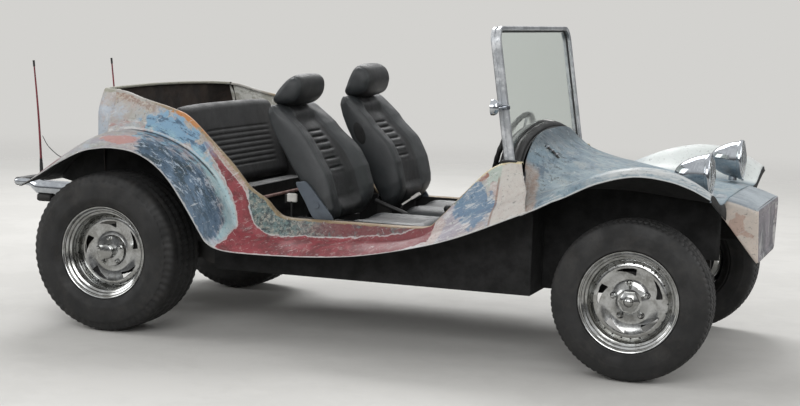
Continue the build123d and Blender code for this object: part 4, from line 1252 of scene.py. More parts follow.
def rimProfile(width, hub):
    lip = [(.2105, .006), (.2110, .002), (.2095, .0), (.2060, .0006), (.2035, .003), (.2020, .010),
           (.1985, .0125), (.1950, .014), (.1925, .020), (.1910, .027), (.1865, .030), (.1825, .032),
           (.1805, .038), (.1795, .044), (.1765, .047), (.1745, .052), (.1740, hub + .02)]
    barrel = [(.1735, width * 0.55), (.1740, width - .060), (.1880, width - .034), (.1960, width - .016),
              (.2080, width - .010), (.2110, width - .002), (.2095, width)]
    back = [(r - .005, d + (.002 if d < .02 else 0)) for r, d in (lip[4:] + barrel)[::-1]]
    return lip + barrel + back


def spiderMesh(name, hub, centre, side):
    # A dished centre with swept slots, cut by a boolean that is applied at once
    front = [(.0001, hub - .012), (.030, hub - .012), (.050, hub - .010), (.060, hub - .002),
             (.078, hub + .006), (.098, hub + .007), (.120, hub + .001), (.140, hub - .004),
             (.152, hub - .003), (.162, hub + .002), (.168, hub + .010), (.1735, hub + .012)]
    profile = front + [(r, d + .006) for r, d in front[::-1]]
    points, loops, _ = gridPart(latheGrid(profile, centre, rimDesign["segments"], side), closeRows=True,
                                closeColumns=True)
    disc = makeObject(name, points, loops, ["dullChrome", "rim black"])
    cutters = []
    for k in range(rimDesign["slots"]):
        outline = []
        for radius, angle in rimDesign["slot"]:
            turn = math.radians(90 + 72 * k - angle)
            turn = turn if side == -1 else math.pi - turn
            outline.append((centre[0] + radius * math.cos(turn), centre[2] + radius * math.sin(turn)))
        ends = [centre[1] - side * (hub - .05), centre[1] - side * (hub + .05)]
        cutters.append(loftPart([[(x, y, z) for x, z in outline] for y in ends]))
    verts, faces, indices = joinParts(cutters)
    cutter = makeObject(name + "_cutter", verts, faces, ["dark"], indices)
    mesh = cutter.data
    work = disc.modifiers.new("slots", "BOOLEAN")
    work.operation = "DIFFERENCE"
    work.solver = "EXACT"
    work.object = cutter
    for target in (disc, cutter):
        flipOutward(target.data)
    bpy.context.view_layer.update()
    graph = bpy.context.evaluated_depsgraph_get()
    cut = bpy.data.meshes.new_from_object(disc.evaluated_get(graph))
    bpy.data.objects.remove(cutter)
    bpy.data.meshes.remove(mesh)
    disc.modifiers.clear()
    disc.data = cut
    cut.set_sharp_from_angle(angle=math.radians(32))
    return disc


def tyreProfile(radius, width, bulge):
    half = [(.199, .016), (.2115, .0075), (.2140, -.001), (.2180, -.003), (.2300, -.0010 - bulge * .5),
            (.2450, -.0010 - bulge * .9), (.2620, -.0005 - bulge), (radius - .055, .002 - bulge * .95),
            (radius - .035, .006 - bulge * .8), (radius - .021, .0105 - bulge * .72),
            (radius - .012, .017 - bulge * .7), (radius - .006, .027 - bulge * .6),
            (radius - .003, .045 - bulge * .3), (radius - .001, .075),
            (radius, width / 2)]
    shape = curveThrough(half, 57)
    return np.concatenate([shape, (shape * (1, -1) + (0, width))[::-1][1:]])


def makeTyre(name, spec, side, blocks):
    x, radius, lip, width, _, bulge, count = spec
    profile = tyreProfile(radius, width, bulge)
    segments = count * 4
    grid = latheGrid(profile, (x, side * lip, radius), segments, side)
    across = (profile[:, 1] - width / 2) / (width / 2)
    reach = profile[:, 0]
    tread = reach > radius - 0.020
    depth = np.zeros((segments, len(profile)))
    for line in (-.62, -.22, .22, .62):
        depth[:, tread & (np.abs(across - line) < 0.035)] = 0.007
    for k in range(segments):
        outer = (k % 4 == 0) or (blocks and k % 4 == 1)
        inner = ((k + 2) % 4 == 0)
        low = radius - (0.042 if blocks else 0.018)
        shoulder = (np.abs(across) > 0.66) & (reach > low)
        fade = np.clip((reach - low) / (0.006 if blocks else 0.02), 0, 1)
        fade *= 1 - (0.7 if blocks else 0.0) * np.clip((reach - low - 0.018) / 0.018, 0, 1)
        if outer:
            depth[k, shoulder] = np.maximum(depth[k, shoulder], 0.0080 * fade[shoulder])
        middle = (np.abs(across) < 0.60) & tread
        if inner:
            depth[k, middle] = np.maximum(depth[k, middle], 0.004)
    centre = np.array((x, 0, radius))
    radial = grid - centre
    radial[:, :, 1] = 0
    radial /= np.linalg.norm(radial, axis=2)[:, :, None]
    grid = grid - radial * depth[:, :, None]
    # two moulded rings on each sidewall
    ring = np.exp(-((reach - (radius - .060)) / .0015) ** 2) + np.exp(-((reach - .232) / .0015) ** 2)
    grid[:, :, 1] += np.where(across < 0, side, -side) * ring * 0.0012
    inner = latheGrid([(.196, width - .020), (.192, width / 2), (.196, .020)], (x, side * lip, radius),
                      segments, side)
    grid = np.concatenate([grid, inner], 1)
    points, loops, _ = gridPart(grid, closeRows=True, closeColumns=True)
    piece = makeObject("tyre_" + name + "_shaped", points, loops, ["rubber"], sharp=38)
    settle(piece, "road_wheel_" + name, ["tyre_" + name])


def makeWheel(name, spec, side):
    x, radius, lip, width, hub = spec[:5]
    centre = (x, side * lip, radius)
    body = "road_wheel_" + name
    disc = spiderMesh("wheel_centre_" + name, hub, centre, side)
    settle(disc, body, ())
    grid = latheGrid(rimProfile(width, hub), centre, 144, side)
    hidden = slice(4, grid.shape[1] - 13)
    face = np.concatenate([grid[:, grid.shape[1] - 14:], grid[:, :5]], 1)
    parts = [gridPart(face, 0, closeRows=True), gridPart(grid[:, hidden], 1, closeRows=True)]

    def at(r, turn, d):
        return np.array((centre[0] + r * math.cos(turn), centre[1] - side * d,
                         centre[2] + r * math.sin(turn)))

    def spin(profile, place, sides, index):
        parts.append(gridPart(latheGrid(profile, place, sides, side), index, closeRows=True))

    caps = hubTable[name.split("_")[0]]
    for key, sides in (("cap", 48), ("prism", caps["facets"])):
        profile = [(r, hub + d) for r, d in caps[key]]
        spin(profile, centre, sides, 0)
    for k in range(rimDesign["nuts"]):
        turn = 2 * math.pi * (k + 0.3) / rimDesign["nuts"]
        place = at(caps["nutCircle"], turn, caps["nutDepth"])
        nut = [(.0001, hub - .020), (.0065, hub - .019), (.0095, hub - .014), (.0100, hub + .003)]
        spin(nut, place, 6, 0)
        seat = [(.0125, hub - .001), (.0150, hub + .004)]
        spin(seat, place, 20, 1)
    for k in range(rimDesign["rivets"]):
        turn = 2 * math.pi * k / rimDesign["rivets"]
        dot = [(.0001, hub - .0052), (.0020, hub - .0050), (.0034, hub - .0035), (.0038, hub - .001)]
        spin(dot, at(rimDesign["rivetRadius"], turn, 0), 8, 1)
    valve = [at(.166, 0.9, 0) - (0, side * (hub - d), 0) for d in (.004, .030)]
    parts.append(rodPart(*valve, .0035, 8, 1))
    makePiece("wheel_rim_" + name, parts, ["dullChrome", "rim black"],
              sharp=40, body=body, replaces=["wheel_" + name], flip=False)


def makeWheels():
    for end, spec in wheelTable.items():
        for word, side in carSides.items():
            makeWheel(end + "_" + word, spec, side)
            makeTyre(end + "_" + word, spec, side, end == "rear")
    print("wheels made")


# High-backed front seats. Backs are drawn in their own frame: n is forward of the centre line and
# h is up along it. columns of the back: h, half width, n of the rear face, n of the bolster's front
seatDesign = {
    "y": .330, "foot": {"right": (-.062, 29.0), "left": (-.010, 25.0)}, "footZ": .556,
    "back": [(0, .205, -.036, .014), (.04, .232, -.046, .036), (.10, .240, -.050, .058),
             (.19, .241, -.057, .076), (.30, .241, -.066, .072), (.368, .240, -.070, .066),
             (.44, .239, -.074, .052), (.50, .237, -.073, .028),
             (.55, .234, -.066, .006), (.584, .228, -.056, -.006)],
    "insert": .118, "recess": .034, "forward": {"right": (0.0, .034), "left": (.034, .034)},
    "pleats": (.225, .272, .320, .356, .388, .420), "pleatHalf": .066,
    "head": {"right": [(-.053, .612), (-.018, .638), (.033, .659), (.076, .669), (.112, .665), (.130, .636),
                       (.120, .600), (.088, .566), (.038, .552), (-.030, .575)],
             "left": [(-.055, .606), (-.030, .637), (.007, .674), (.046, .702), (.083, .704), (.112, .672),
                      (.115, .630), (.098, .592), (.055, .558), (-.030, .572)]},
    "headHalf": .166,
    # painted shadow ovals on the seats' inner sides: height, how far back and inboard; half width and height;
    # size and reach of each ring
    "shadowOvalPlace": (.385, .012, .2400), "shadowOvalSize": (.026, .056),
    "shadowOvalRings": ((1, -.02), (1, .003), (.9, .006), (.6, .007)),
    "cushion": (.036, .452, .402, .560, .222),
    "hinge": [(-.222, .708), (-.204, .720), (-.168, .717), (-.100, .640), (-.041, .566), (-.060, .552),
              (-.130, .558), (-.176, .630)],
}


def softSign(value, power):
    return np.sign(value) * np.abs(value) ** power


def smoothStep(value, low, high):
    t = np.clip((value - low) / (high - low), 0, 1)
    return t * t * (3 - 2 * t)


def seatFrame(name, side):
    footX, lean = seatDesign["foot"][name]
    turn = math.radians(lean)
    foot = np.array((footX, side * seatDesign["y"], seatDesign["footZ"]))
    forward = np.array((math.cos(turn), 0, math.sin(turn)))
    return foot, forward, np.array((-math.sin(turn), 0, math.cos(turn)))


def seatBack(name, side):
    s = seatDesign
    foot, forward, up = seatFrame(name, side)
    rows, around = 150, 120
    table = np.array(s["back"])
    grid, shade = [], []
    for v in np.linspace(0, 1, rows):
        h = v * table[-1][0]
        half, rear, front = (np.interp(h, table[:, 0], table[:, k]) for k in (1, 2, 3))
        inner = front - s["recess"] * smoothStep(h, 0.02, 0.10) * (1 - smoothStep(h, .47, .53))
        outline = [(0, inner), (.05, inner), (.098, inner + .002), (.124, inner * .4 + front * .6 - .004),
                   (half - .072, front - .002), (half - .030, front), (half - .010, front - .006),
                   (half - .001, front - .020), (half + .004, (front + rear) / 2 + .01), (half, rear + .030),
                   (half - .012, rear + .008), (half - .05, rear), (half * .4, rear - .004), (0, rear - .005)]
        loop = outline + [(-y, n) for y, n in outline[-2:0:-1]]
        ring = curveThrough(loop, around, closed=True)
        y, n = ring[:, 0], ring[:, 1]
        face = n > (front + rear) / 2
        near, far = s["forward"][name]
        push = near + (far - near) * smoothStep(y, .02, .20)
        push = push * smoothStep(h, 0.0, 0.07) * (1 - smoothStep(h, .26, .42))
        n = n + push * smoothStep(n, rear + .02, front - .01)
        inside = np.abs(y) < s["insert"]
        seam = np.exp(-((np.abs(y) - s["insert"]) / .0040) ** 2)
        n = np.where(face, n - .0045 * seam, n)
        # a raised welt where the bolster's face meets its side
        welt = np.exp(-((np.abs(y) - half + .010) / .0035) ** 2 - ((n - front + .006) / .008) ** 2)
        n = n + .0030 * welt
        for pleat in s["pleats"]:
            narrow = 1 - smoothStep(np.abs(y), s["pleatHalf"] - .01, s["pleatHalf"] + .012)
            groove = math.exp(-((h - pleat) / .0042) ** 2)
            swell = math.exp(-((h - pleat + .016) / .009) ** 2)
            n = np.where(face, n - (.0120 * groove - .0040 * swell) * narrow, n)
        wrinkle = .0018 * np.sin(h * 60 + 9 * y) * np.sin(h * 23 + side)
        wrinkle = wrinkle * np.exp(-((np.abs(y) - half + .05) / .03) ** 2)
        n = np.where(face, n + wrinkle, n)
        # the ends close with round edges
        cap = min(h / .030, (table[-1][0] - h) / .036)
        close = roundEnd(cap)
        middle = (front + rear) / 2
        y = y * (.93 + .07 * close)
        n = middle + (n - middle) * (.10 + .90 * close)
        row = foot + np.outer(np.full(around, h), up) + np.outer(n, forward)
        row[:, 1] += y
        grid.append(row)
        # the bolsters and sides take the lighter vinyl as painted light, the insert the black
        shade.append(np.where(face & inside, 0, 1))
    points, loops, _ = loftPart(np.array(grid))
    shade = np.array(shade)
    indices = [int(shade[i, j]) for i in range(rows - 1) for j in range(around)] + [1, 1]
    piece = makeObject("seat_back_cover_" + name, points, loops, ["darkHide", "sunlitHide"], indices)
    flipOutward(piece.data)
    settle(piece, "chassis", ["seat_back_" + name])


def headrest(name, side):
    s = seatDesign
    foot, forward, up = seatFrame(name, side)
    outline = curveThrough(s["head"][name], 72, closed=True)
    centre = outline.mean(0)
    grid = []
    for turn in np.linspace(-math.pi / 2, math.pi / 2, 64):
        y = s["headHalf"] * math.sin(turn)
        size = .10 + .90 * (1 - abs(math.sin(turn)) ** 5) ** .36
        crown = 1 + .02 * math.cos(y / s["headHalf"] * math.pi / 2)
        ring = centre + (outline - centre) * size * crown
        seam = .0025 * math.exp(-((abs(y) - s["headHalf"] * .86) / .0035) ** 2)
        ring = ring - (ring - centre) * seam / .06
        row = foot + np.outer(ring[:, 1], up) + np.outer(ring[:, 0], forward)
        row[:, 1] += y
        grid.append(row)
    points, loops, _ = loftPart(np.array(grid))
    # side caps in the lighter vinyl as painted light, front and back in the black
    sides = [0 if abs(math.sin(t)) > .84 else 1 for t in np.linspace(-math.pi / 2, math.pi / 2, 64)]
    indices = [sides[i] for i in range(63) for _ in range(72)] + [0, 0]
    head = makeObject("headrest_" + name, points, loops, ["sunlitHide", "darkHide"], indices)
    flipOutward(head.data)
    settle(head, "chassis", ())
    low, high = foot + up * .52, foot + up * .60
    posts = [rodPart(low + (0, dy, 0), high + (0, dy, 0), .006, 12) for dy in (-.06, .06)]
    makePiece("headrest_posts_" + name, posts, ["trim"], flip=False)


def seatCushion(name, side):
    s = seatDesign
    start, end, z0, z1, halfWidth = s["cushion"]
    footX = s["foot"][name][0]
    rows, around = 110, 112
    turn = fullTurn(around)
    grid, shade = [], []
    for u in np.linspace(0, 1, rows):
        x = footX + start + (end - start) * u
        cap = min(u * .6, 1 - u) * (end - start) / .055
        close = roundEnd(cap)
        half = halfWidth * (.86 + .14 * close)
        tall = (z1 - z0) / 2 * (.25 + .75 * close)
        y = softSign(np.cos(turn), .5) * half
        z = (z0 + z1) / 2 + softSign(np.sin(turn), .6) * tall
        top = np.sin(turn) > 0
        across = np.abs(y) / half
        dish = (1 - smoothStep(across, .48, .66)) * smoothStep(u, 0, .1) * (1 - smoothStep(u, .74, .88))
        z = np.where(top, z - .016 * dish, z)
        seam = np.exp(-((across - .56) / .016) ** 2) * (u < .82)
        seam = seam + np.exp(-((u - .82) / .010) ** 2) * (across < .56)
        z = np.where(top, z - .0045 * seam, z)
        z = np.where(top, z + .006 * np.cos(across * math.pi / 2), z)
        grid.append(np.stack([np.full(around, x), side * s["y"] + y, z], 1))
        # the sides and front take the lighter vinyl as painted light, the insert the black
        shade.append(np.where(top & (across < .56) & (u < .82), 0, 1))
    points, loops, _ = loftPart(np.array(grid))
    shade = np.array(shade)
    indices = [int(shade[i, j]) for i in range(rows - 1) for j in range(around)] + [1, 1]
    piece = makeObject("seat_cushion_cover_" + name, points, loops, ["darkHide", "sunlitHide"], indices)
    flipOutward(piece.data)
    settle(piece, "chassis", ["seat_cushion_" + name])


def slabPart(outline, y0, y1, index=0):
    # A flat plate with a side-view outline, with its edges broken a little
    ring = np.asarray(outline, float)
    centre = ring.mean(0)
    small = centre + (ring - centre) * .96
    step = (y1 - y0) * .2
    rings = [[(x, y, z) for x, z in loop] for loop, y in (
        (small, y0), (ring, y0 + step), (ring, y1 - step), (small, y1))]
    return loftPart(rings, index)


def seatTrim():
    # Covers over the back hinges on the outer sides, and two belt buckles
    s = seatDesign
    parts = []
    for name, side in carSides.items():
        shift = s["foot"][name][0] - s["foot"]["right"][0]
        outline = curveThrough([(x + shift, z) for x, z in s["hinge"]], 42, closed=True)
        y = s["y"] + .2445
        low, high = sorted((side * y, side * (y + .012)))
        parts.append(slabPart(outline, low, high))
        hub = np.array((-.120 + shift, high if side == 1 else low, .620))
        parts.append(rodPart(hub, hub + (0, side * .006, 0), .014, 20))
    makePiece("seat_hinge_covers", parts, ["hinge"], sharp=35)
    # painted shadow: dark ovals on the seats' inner sides
    shadowOvals = []
    for name, side in carSides.items():
        foot, forward, up = seatFrame(name, side)
        high, back, aside = s["shadowOvalPlace"]
        wide, tall = s["shadowOvalSize"]
        centre = foot + up * high - forward * back - (0, side * aside, 0)
        turn = fullTurn(32)
        rings = [[centre + forward * wide * size * math.cos(t) + up * tall * size * math.sin(t)
                  - (0, side * out, 0) for t in turn] for size, out in s["shadowOvalRings"]]
        shadowOvals.append(loftPart(rings))
    makePiece("seat_shadow_ovals", shadowOvals, ["dark"], sharp=40)
    flat = np.array([(-1, -1), (1, -1), (1, 1), (-1, 1)], float)
    buckles = [boxPart((-.314, -.476, .612), (-.264, -.462, .652), 0, .004),
               boxPart((-.324, -.474, .606), (-.310, -.464, .646), 1, .002),
               rodPart((-.29, -.47, .50), (-.29, -.47, .616), .006, 10, 1)]
    tongue = np.linspace((.048, .088, .570), (.108, .088, .612), 5)
    buckles.append(loftPart(ringsAlong(tongue, flat * (.010, .004))))
    head = np.linspace((.098, .088, .604), (.130, .088, .627), 4)
    buckles.append(loftPart(ringsAlong(head, flat * (.018, .007))))
    buckles.append(rodPart((.02, .088, .50), (.052, .088, .572), .006, 10, 1))
    makePiece("seat_belt_buckles", buckles, ["white", "trim"], sharp=35)


def makeSeats():
    for name, side in carSides.items():
        seatBack(name, side)
        headrest(name, side)
        seatCushion(name, side)
    seatTrim()
    print("front seats made")


# Rear bench with level ribs
benchDesign = {"half": .500, "foot": (-.705, 0, .655), "lean": 18.0, "height": .402, "depth": .045,
               "ribs": (.078, .104, .130, .156, .182, .208, .234, .260), "ribHalf": .33,
               "cushion": (-.700, -.480, .560, .645), "ledge": ((-.465, -.520, .611), (-.450, .520, .625))}


def makeBench():
    s = benchDesign
    lean = math.radians(s["lean"])
    up = np.array((-math.sin(lean), 0, math.cos(lean)))
    forward = np.array((math.cos(lean), 0, math.sin(lean)))
    foot = np.array(s["foot"]) - forward * s["depth"]
    rows, around = 90, 120
    turn = fullTurn(around)
    grid = []
    for v in np.linspace(0, 1, rows):
        h = v * s["height"]
        cap = min(v, 1 - v) * s["height"] / 0.04
        close = roundEnd(cap)
        y = softSign(np.cos(turn), 0.35) * s["half"] * (0.96 + 0.04 * close)
        n = softSign(np.sin(turn), 0.5) * s["depth"] * (0.2 + 0.8 * close)
        front = np.sin(turn) > 0
        for rib in s["ribs"]:
            narrow = 1 - smoothStep(np.abs(y), s["ribHalf"], s["ribHalf"] + .02)
            groove = np.exp(-((h - rib) / 0.0045) ** 2) * narrow
            n = np.where(front, n - 0.0042 * groove, n)
        drop = 0.012 * (y / s["half"]) ** 4
        row = foot + np.outer(h - drop * v, up) + np.outer(n, forward)
        row[:, 1] += y
        grid.append(row)
    points, loops, _ = loftPart(np.array(grid))
    piece = makeObject("bench_back_cover", points, reversedLoops(loops), ["benchHide"])
    settle(piece, "chassis", ["rear_seat_back"])
    x0, x1, z0, z1 = s["cushion"]
    grid = []
    for u in np.linspace(0, 1, 60):
        cap = min(u, 1 - u) * (x1 - x0) / 0.03
        close = roundEnd(cap)
        y = softSign(np.cos(turn), 0.3) * s["half"] * (0.97 + 0.03 * close)
        z = (z0 + z1) / 2 + softSign(np.sin(turn), 0.5) * (z1 - z0) / 2 * (0.3 + 0.7 * close)
        for rib in (0.3, 0.55, 0.8):
            z = z - 0.006 * np.exp(-((u - rib) / 0.02) ** 2) * (np.sin(turn) > 0)
        grid.append(np.stack([np.full(around, x0 + (x1 - x0) * u), y, z], 1))
    points, loops, _ = loftPart(np.array(grid))
    piece = makeObject("bench_cushion_cover", points, loops, ["benchHide"])
    settle(piece, "chassis", ["rear_seat_cushion"])
    ledge = [boxPart(*s["ledge"], 0, .003)]
    makePiece("bench_ledge", ledge, ["ledge"], sharp=35, flip=False)
    print("bench made")


# Headlamps in chrome shells
lampDesign = {"centre": (1.592, .451, .849), "tilt": 0.03, "shrink": 0.97,
              "shell": [(.0001, -.150), (.012, -.149), (.028, -.141), (.045, -.126), (.060, -.105),
                        (.073, -.078), (.083, -.048), (.088, -.022), (.0895, -.012), (.0935, -.010),
                        (.0955, -.004), (.0955, .003), (.0930, .008), (.0880, .0095), (.0850, .006),
                        (.0845, .003)],
              "bowl": [(.084, .002), (.070, -.024), (.048, -.044), (.020, -.055), (.0001, -.058)],
              "bulb": [(.0001, -.018), (.008, -.020), (.011, -.030), (.011, -.052)],
              "lens": [(.0845, .004), (.080, .0075), (.066, .0125), (.046, .0175), (.024, .0205),
                       (.0001, .0215)]}


def makeHeadlamps():
    s = lampDesign
    for name, side in carSides.items():
        centre = np.array((s["centre"][0], side * s["centre"][1], s["centre"][2]))
        aim = np.array((1, 0, s["tilt"])) / math.hypot(1, s["tilt"])
        across = np.array((0, 1.0, 0))
        upward = np.cross(aim, across)
        turn = fullTurn(72)

        def spun(profile):
            out = [across * math.cos(t) + upward * math.sin(t) for t in turn]
            return np.array([[centre + aim * d + o * r * s["shrink"] for o in out] for r, d in profile])

        parts = [sleevePart(spun(s[key])) for key in ("shell", "bowl", "bulb")]
        foot = centre + (-.037, 0, -.060)
        stem = [foot, foot + (0, 0, -.020), foot + (0, 0, -.038)]
        parts.append(loftPart(ringsAlong(np.array(stem), roundOutline(.020, 20))))
        screw = centre + upward * -.094 + aim * .002
        parts.append(rodPart(screw, screw + aim * .010, .004, 10))
        shellNodes, lensNodes = (["headlamps"], ["headlamp_lenses"]) if side == -1 else ((), ())
        makePiece("headlamp_shell_" + name, parts, ["chrome"],
                  sharp=50, replaces=shellNodes)
        points, loops, _ = sleevePart(spun(s["lens"]))
        glass = makeObject("headlamp_glass_" + name, points, loops, ["lampGlass"])
        flipOutward(glass.data)
        thicken(glass, 0.003, -1.0, 0)
        settle(glass, "chassis", lensNodes)
    print("headlamps made")


# Windscreen of flat channel, its glazing strip, and the small round mirror on its right post
screenDesign = {"y": .607, "foot": (.770, .866), "head": (.682, 1.4285), "corner": .060, "deep": .044,
                "wide": .018, "mirror": (.714, -.682, 1.100), "mirrorRadius": .034, "clampZ": 1.098}


def screenPath(inset, corner):
    s = screenDesign
    (fx, fz), (hx, hz) = s["foot"], s["head"]
    lean = (hx - fx) / (hz - fz)
    half, top = s["y"] - inset, hz - inset

    def at(y, z):
        return (fx + lean * (z - fz), y, z)

    right = [at(-half, z) for z in np.linspace(fz, top - corner, 24)]
    bend = [at(-half + corner - corner * math.cos(t), top - corner + corner * math.sin(t))
            for t in np.linspace(0, math.pi / 2, 12)][1:]
    level = [at(y, top) for y in np.linspace(-half + corner, half - corner, 24)][1:]
    points = right + bend + level
    far = [(x, -y, z) for x, y, z in (right + bend)[::-1]][1:]
    return np.array(points + far)


def makeScreen():
    s = screenDesign
    w, d = s["wide"] / 2, s["deep"] / 2
    groove = .0045
    half = [(w, -d + .004), (w - .003, -d), (-w + .003, -d), (-w, -d + .004)]
    outline = half + [(-w, -groove), (-w + .005, -groove), (-w + .005, groove), (-w, groove)]
    outline += [(-x, -y) for x, y in half]
    outline += [(w, groove), (w - .004, groove * .5), (w - .004, -groove * .5), (w, -groove)]
    rings = ringsAlong(screenPath(0, s["corner"]), np.array(outline))
    parts = [loftPart(rings)]
    strip = roundOutline(.0065, 10, 1.0)
    parts.append(loftPart(ringsAlong(screenPath(.011, s["corner"] - .010), strip), 1))
    for side in (-1, 1):
        fx, fz = s["foot"]
        y = side * s["y"]
        parts.append(boxPart((fx - .034, y - .016, fz - .002), (fx + .034, y + .016, fz + .010), 1, .004))
    makePiece("screen_channel", parts, ["tube", "trim"],
              sharp=35, replaces=["windscreen_frame"])
    x, y, z = s["mirror"]
    r = s["mirrorRadius"]
    shell = [(-.009, .985), (-.010, 1), (-.004, 1), (.004, .97), (.012, .80), (.018, .5), (.020, .0005 / r)]
    face = [(-.008, .97), (-.008, .0005 / r)]

    def dished(profile):
        return [[(x + d, y + r * a * math.cos(t), z + r * a * math.sin(t)) for t in fullTurn(40)]
                for d, a in profile]

    (fx, fz), (hx, hz) = s["foot"], s["head"]
    postX = fx + (hx - fx) / (hz - fz) * (s["clampZ"] - fz)
    clampY, clampZ = -s["y"], s["clampZ"]
    parts = [sleevePart(dished(shell)), sleevePart(dished(face))]
    arm = [(x + .012, y, z), (x + .020, y + .02, z - .002), (postX, clampY - .012, clampZ)]
    parts.append(tubePart(curveThrough(arm, 14), .0045, 12))
    parts.append(boxPart((postX - .026, clampY - .013, clampZ - .011),
                         (postX + .026, clampY + .013, clampZ + .011), 0, .004))
    makePiece("round_mirror", parts, ["chrome"], sharp=40, replaces=["door_mirror"])
    print("screen made")


# Steering wheel on its raked column
steeringDesign = {"hub": (.520, .330, .850), "foot": (1.405, .240, .532), "rim": .178, "grip": .0125,
                  "corners": ((-1, -1), (1, -1), (1, 1), (-1, 1)),
                  # radius, offset and half width of each spoke; radius and offset of the boss
                  "spoke": ((.030, -.026, .016), (.060, -.020, .015), (.110, -.010, .013),
                            (.150, -.003, .013), (.172, 0, .017)),
                  "boss": ((.0005, .004), (.020, .004), (.026, .001), (.034, -.006), (.036, -.016),
                           (.034, -.030), (.020, -.044))}


def makeSteeringWheel():
    s = steeringDesign
    hub = np.array(s["hub"])
    axis = hub - np.array(s["foot"])
    axis /= np.linalg.norm(axis)
    across = np.array((0, 1.0, 0)) - axis * axis[1]
    across /= np.linalg.norm(across)
    upward = np.cross(axis, across)
    upward *= np.sign(upward[2])

    def at(r, turn, d=0.0):
        return hub + (across * math.cos(turn) + upward * math.sin(turn)) * r + axis * d

    turns = fullTurn(120)
    rings = []
    for turn in turns:
        bump = .0010 * math.cos(turn * 24)
        grip = s["grip"] + bump
        out = across * math.cos(turn) + upward * math.sin(turn)
        rings.append([hub + out * (s["rim"] + grip * math.cos(t)) + axis * grip * math.sin(t)
                      for t in fullTurn(16)])
    parts = [gridPart(rings, 0, closeRows=True, closeColumns=True)]
    for angle in (90, 210, 330):
        turn = math.radians(angle)
        aside = -across * math.sin(turn) + upward * math.cos(turn)
        spoke = []
        for r, d, wide in s["spoke"]:
            middle = at(r, turn, d)
            spoke.append([middle + aside * wide * a + axis * .0022 * b for a, b in s["corners"]])
        parts.append(loftPart(spoke, 1))
        for r in (.075, .105, .135):
            middle = at(r, turn, -.026 + .026 * (r - .03) / .142 + .0035)
            parts.append(rodPart(middle - axis * .001, middle + axis * .0012, .0062, 12, 0))
    parts.append(sleevePart([[at(r, t, d) for t in turns[::3]] for r, d in s["boss"]]))
    makePiece("steering_wheel_shaped", parts, ["trim", "chrome"],
              sharp=45, body="steering_wheel", replaces=["steering_wheel"])
    print("steering wheel made")


# Chromed side tubes on a black cross bar, flush round lamps, and two thin whips with a stay
rearDesign = {
    "armY": .43, "barX": -1.7645, "barZ": .612, "barRadius": .0195,
    # x, centre height and radius along each side tube
    "arm": [(-1.235, .588, .034), (-1.30, .592, .035), (-1.45, .593, .035), (-1.62, .593, .035),
            (-1.650, .597, .031), (-1.680, .608, .020), (-1.700, .612, .0165), (-1.745, .613, .0160),
            (-1.764, .6135, .0140), (-1.772, .614, .007)],
    "lampY": .53, "lampZ": .95, "lampX": -1.226, "lampRadius": .044,
    "whipY": .376, "whipFoot": (-1.657, .622), "whipTip": (-1.707, 1.200),
}


def makeRear():
    s = rearDesign
    parts = []
    turn = fullTurn(28)
    for side in (-1, 1):
        table = curveThrough(s["arm"], 60)
        rings = [[(x, side * s["armY"] + r * math.cos(t), z + r * math.sin(t)) for t in turn]
                 for x, z, r in table]
        parts.append(loftPart(rings))
        y = side * s["armY"]
        parts.append(boxPart((-1.240, y - .045, .527), (-1.232, y + .045, .700), 1, .003))
        parts.append(boxPart((-1.640, y - .022, .526), (-1.560, y + .022, .562), 1, .006))
    ends = [(s["barX"], side * (s["armY"] - .010), s["barZ"]) for side in (-1, 1)]
    parts.append(rodPart(*ends, s["barRadius"], 24, 1))
    makePiece("rear_bumper_tubes", parts, ["chrome", "chassis"],
              sharp=45, replaces=["rear_bumper"])
    lamps = []
    for side in (-1, 1):
        for radius, depth, index in ((s["lampRadius"], .006, 1), (s["lampRadius"] - .007, .0075, 0),
                                     (.014, .0085, 0)):
            start = np.array((s["lampX"] + .003, side * s["lampY"], s["lampZ"]))
            lamps.append(rodPart(start, start - (depth + .003, 0, 0), radius, 40, index))
    makePiece("tail_lamps_round", lamps, ["redLens", "chrome"],
              sharp=45, replaces=["tail_lamps"])
    rods = []
    for side in (-1, 1):
        foot = np.array((s["whipFoot"][0], side * s["whipY"], s["whipFoot"][1]))
        tip = np.array((s["whipTip"][0], side * s["whipY"], s["whipTip"][1]))
        # x drawn back by a slight bow; radius falls towards the tip
        steps = np.linspace(0, 1, 40)
        path = foot + (tip - foot) * steps[:, None]
        path[:, 0] += .006 * np.sin(steps * math.pi)
        thin = np.interp(steps, (0, .12, .2, 1), (.0085, .0085, .0056, .0036))
        rings = [place + np.stack([r * np.cos(turn), r * np.sin(turn), 0 * turn], 1)
                 for place, r in zip(path, thin)]
        rods.append(loftPart(rings[:8], 1))
        rods.append(sleevePart(rings[7:38]))
        rods.append(rodPart(path[37], path[39], .0052, 12, 1))
        bend = np.array([(-1.654, -.376, .835), (-1.56, -.48, .80), (-1.44, -.60, .775),
                         (-1.352, -.70, .772)])
        rods.append(tubePart(curveThrough(bend * (1, -side, 1), 24), .0022, 8, 1))
    makePiece("whip_rods", rods, ["redRod", "trim"],
              sharp=45, replaces=["whip_antennas"])
    print("rear made")


# Short shift lever with a ball on its gaiter
leverDesign = {"path": [(.330, 0, .486), (.324, 0, .520), (.308, 0, .562)], "knob": (.305, 0, .574),
               "gaiter": .026}


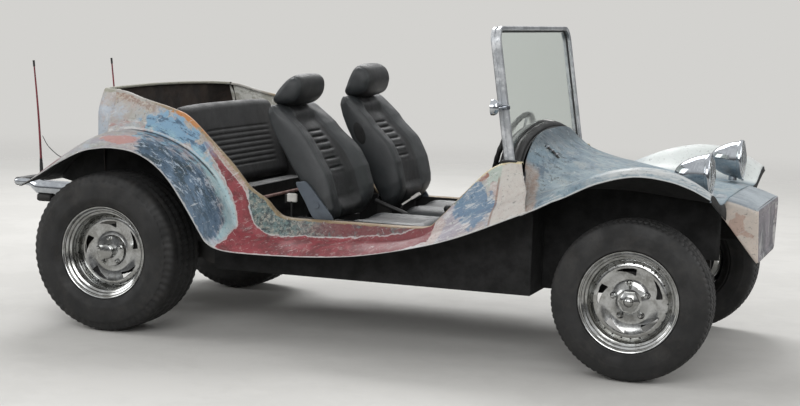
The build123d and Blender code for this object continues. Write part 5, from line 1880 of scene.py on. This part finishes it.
def makeLever():
    s = leverDesign
    turn = fullTurn(28)
    parts = [tubePart(curveThrough(s["path"], 14), .0065, 14, 0)]
    knob = [(.0001 + .0195 * math.sin(a), -.0195 * math.cos(a)) for a in np.linspace(0, math.pi, 18)]
    gaiter = [(s["gaiter"], 0), (.025, .006), (.019, .010), (.020, .015), (.014, .020), (.015, .025),
              (.008, .031)]
    base = np.array(s["path"][0]) - (0, 0, .006)
    for profile, centre in ((knob, np.array(s["knob"])), (gaiter, base)):
        rings = [[centre + (r * math.cos(t), r * math.sin(t), d) for t in turn] for r, d in profile]
        parts.append(loftPart(rings, 1))
    makePiece("gear_lever_short", parts, ["chrome", "trim"],
              sharp=60, replaces=["gear_lever"])
    print("lever made")


# Finishes for the pieces that stay as the frame has them
nodeFinishes = {
    "under": ("tub_side_left", "tub_side_right", "front_bulkhead", "dash_panel", "rear_seat_base"),
    "trim": ("handbrake",),
    "chassis": ("floor_pan", "front_beam", "trailing_arms", "rear_torsion_housing", "steering_box",
                "steering_column", "drop_arm", "tie_rod", "seat_frames", "pedals", "steering_knuckle_left",
                "steering_knuckle_right"),
    "steel": ("exhaust", "shock_absorbers"),
    "rim black": ("drum_front_left", "drum_front_right", "drum_rear_left", "drum_rear_right"),
    "alloy": ("transaxle", "engine"),
    "glass": ("windscreen_glass",),
}


def dressNodes():
    for finish, names in nodeFinishes.items():
        for name in names:
            data = cadNodes[name].data
            data.materials.clear()
            data.materials.append(finishes[finish])
    print("frame pieces dressed")


def makeFloor():
    # The floor thins out into the backdrop all round the car
    half = studioTones["floorSize"] / 2
    tree = finishes["floor"].node_tree
    drawing["tree"] = tree
    place = addNode("ShaderNodeTexCoord").outputs["Object"]
    away = vectorMath("LENGTH", place)["Value"]
    thin = ramp(away, studioTones["fadeFrom"], studioTones["fadeTo"])
    clear = addNode("ShaderNodeBsdfTransparent")
    mixed = addNode("ShaderNodeMixShader", {
        0: thin, 1: tree.nodes["Principled BSDF"].outputs[0], 2: clear.outputs[0]})
    tree.links.new(mixed.outputs[0], tree.nodes["Material Output"].inputs["Surface"])
    points = [(-half, -half, 0), (half, -half, 0), (half, half, 0), (-half, half, 0)]
    makeObject("studio_floor", points, [(0, 1, 2, 3)], ["floor"])


makeCamera()
makeWorld()
makeLamps()
makeFloor()
dressNodes()
makeSides()
makeTail()
makeFront()
makeNose()
makeCowl()
makeWheels()
makeSeats()
makeBench()
makeHeadlamps()
makeScreen()
makeSteeringWheel()
makeRear()
makeLever()

scene.view_settings.view_transform = "Standard"
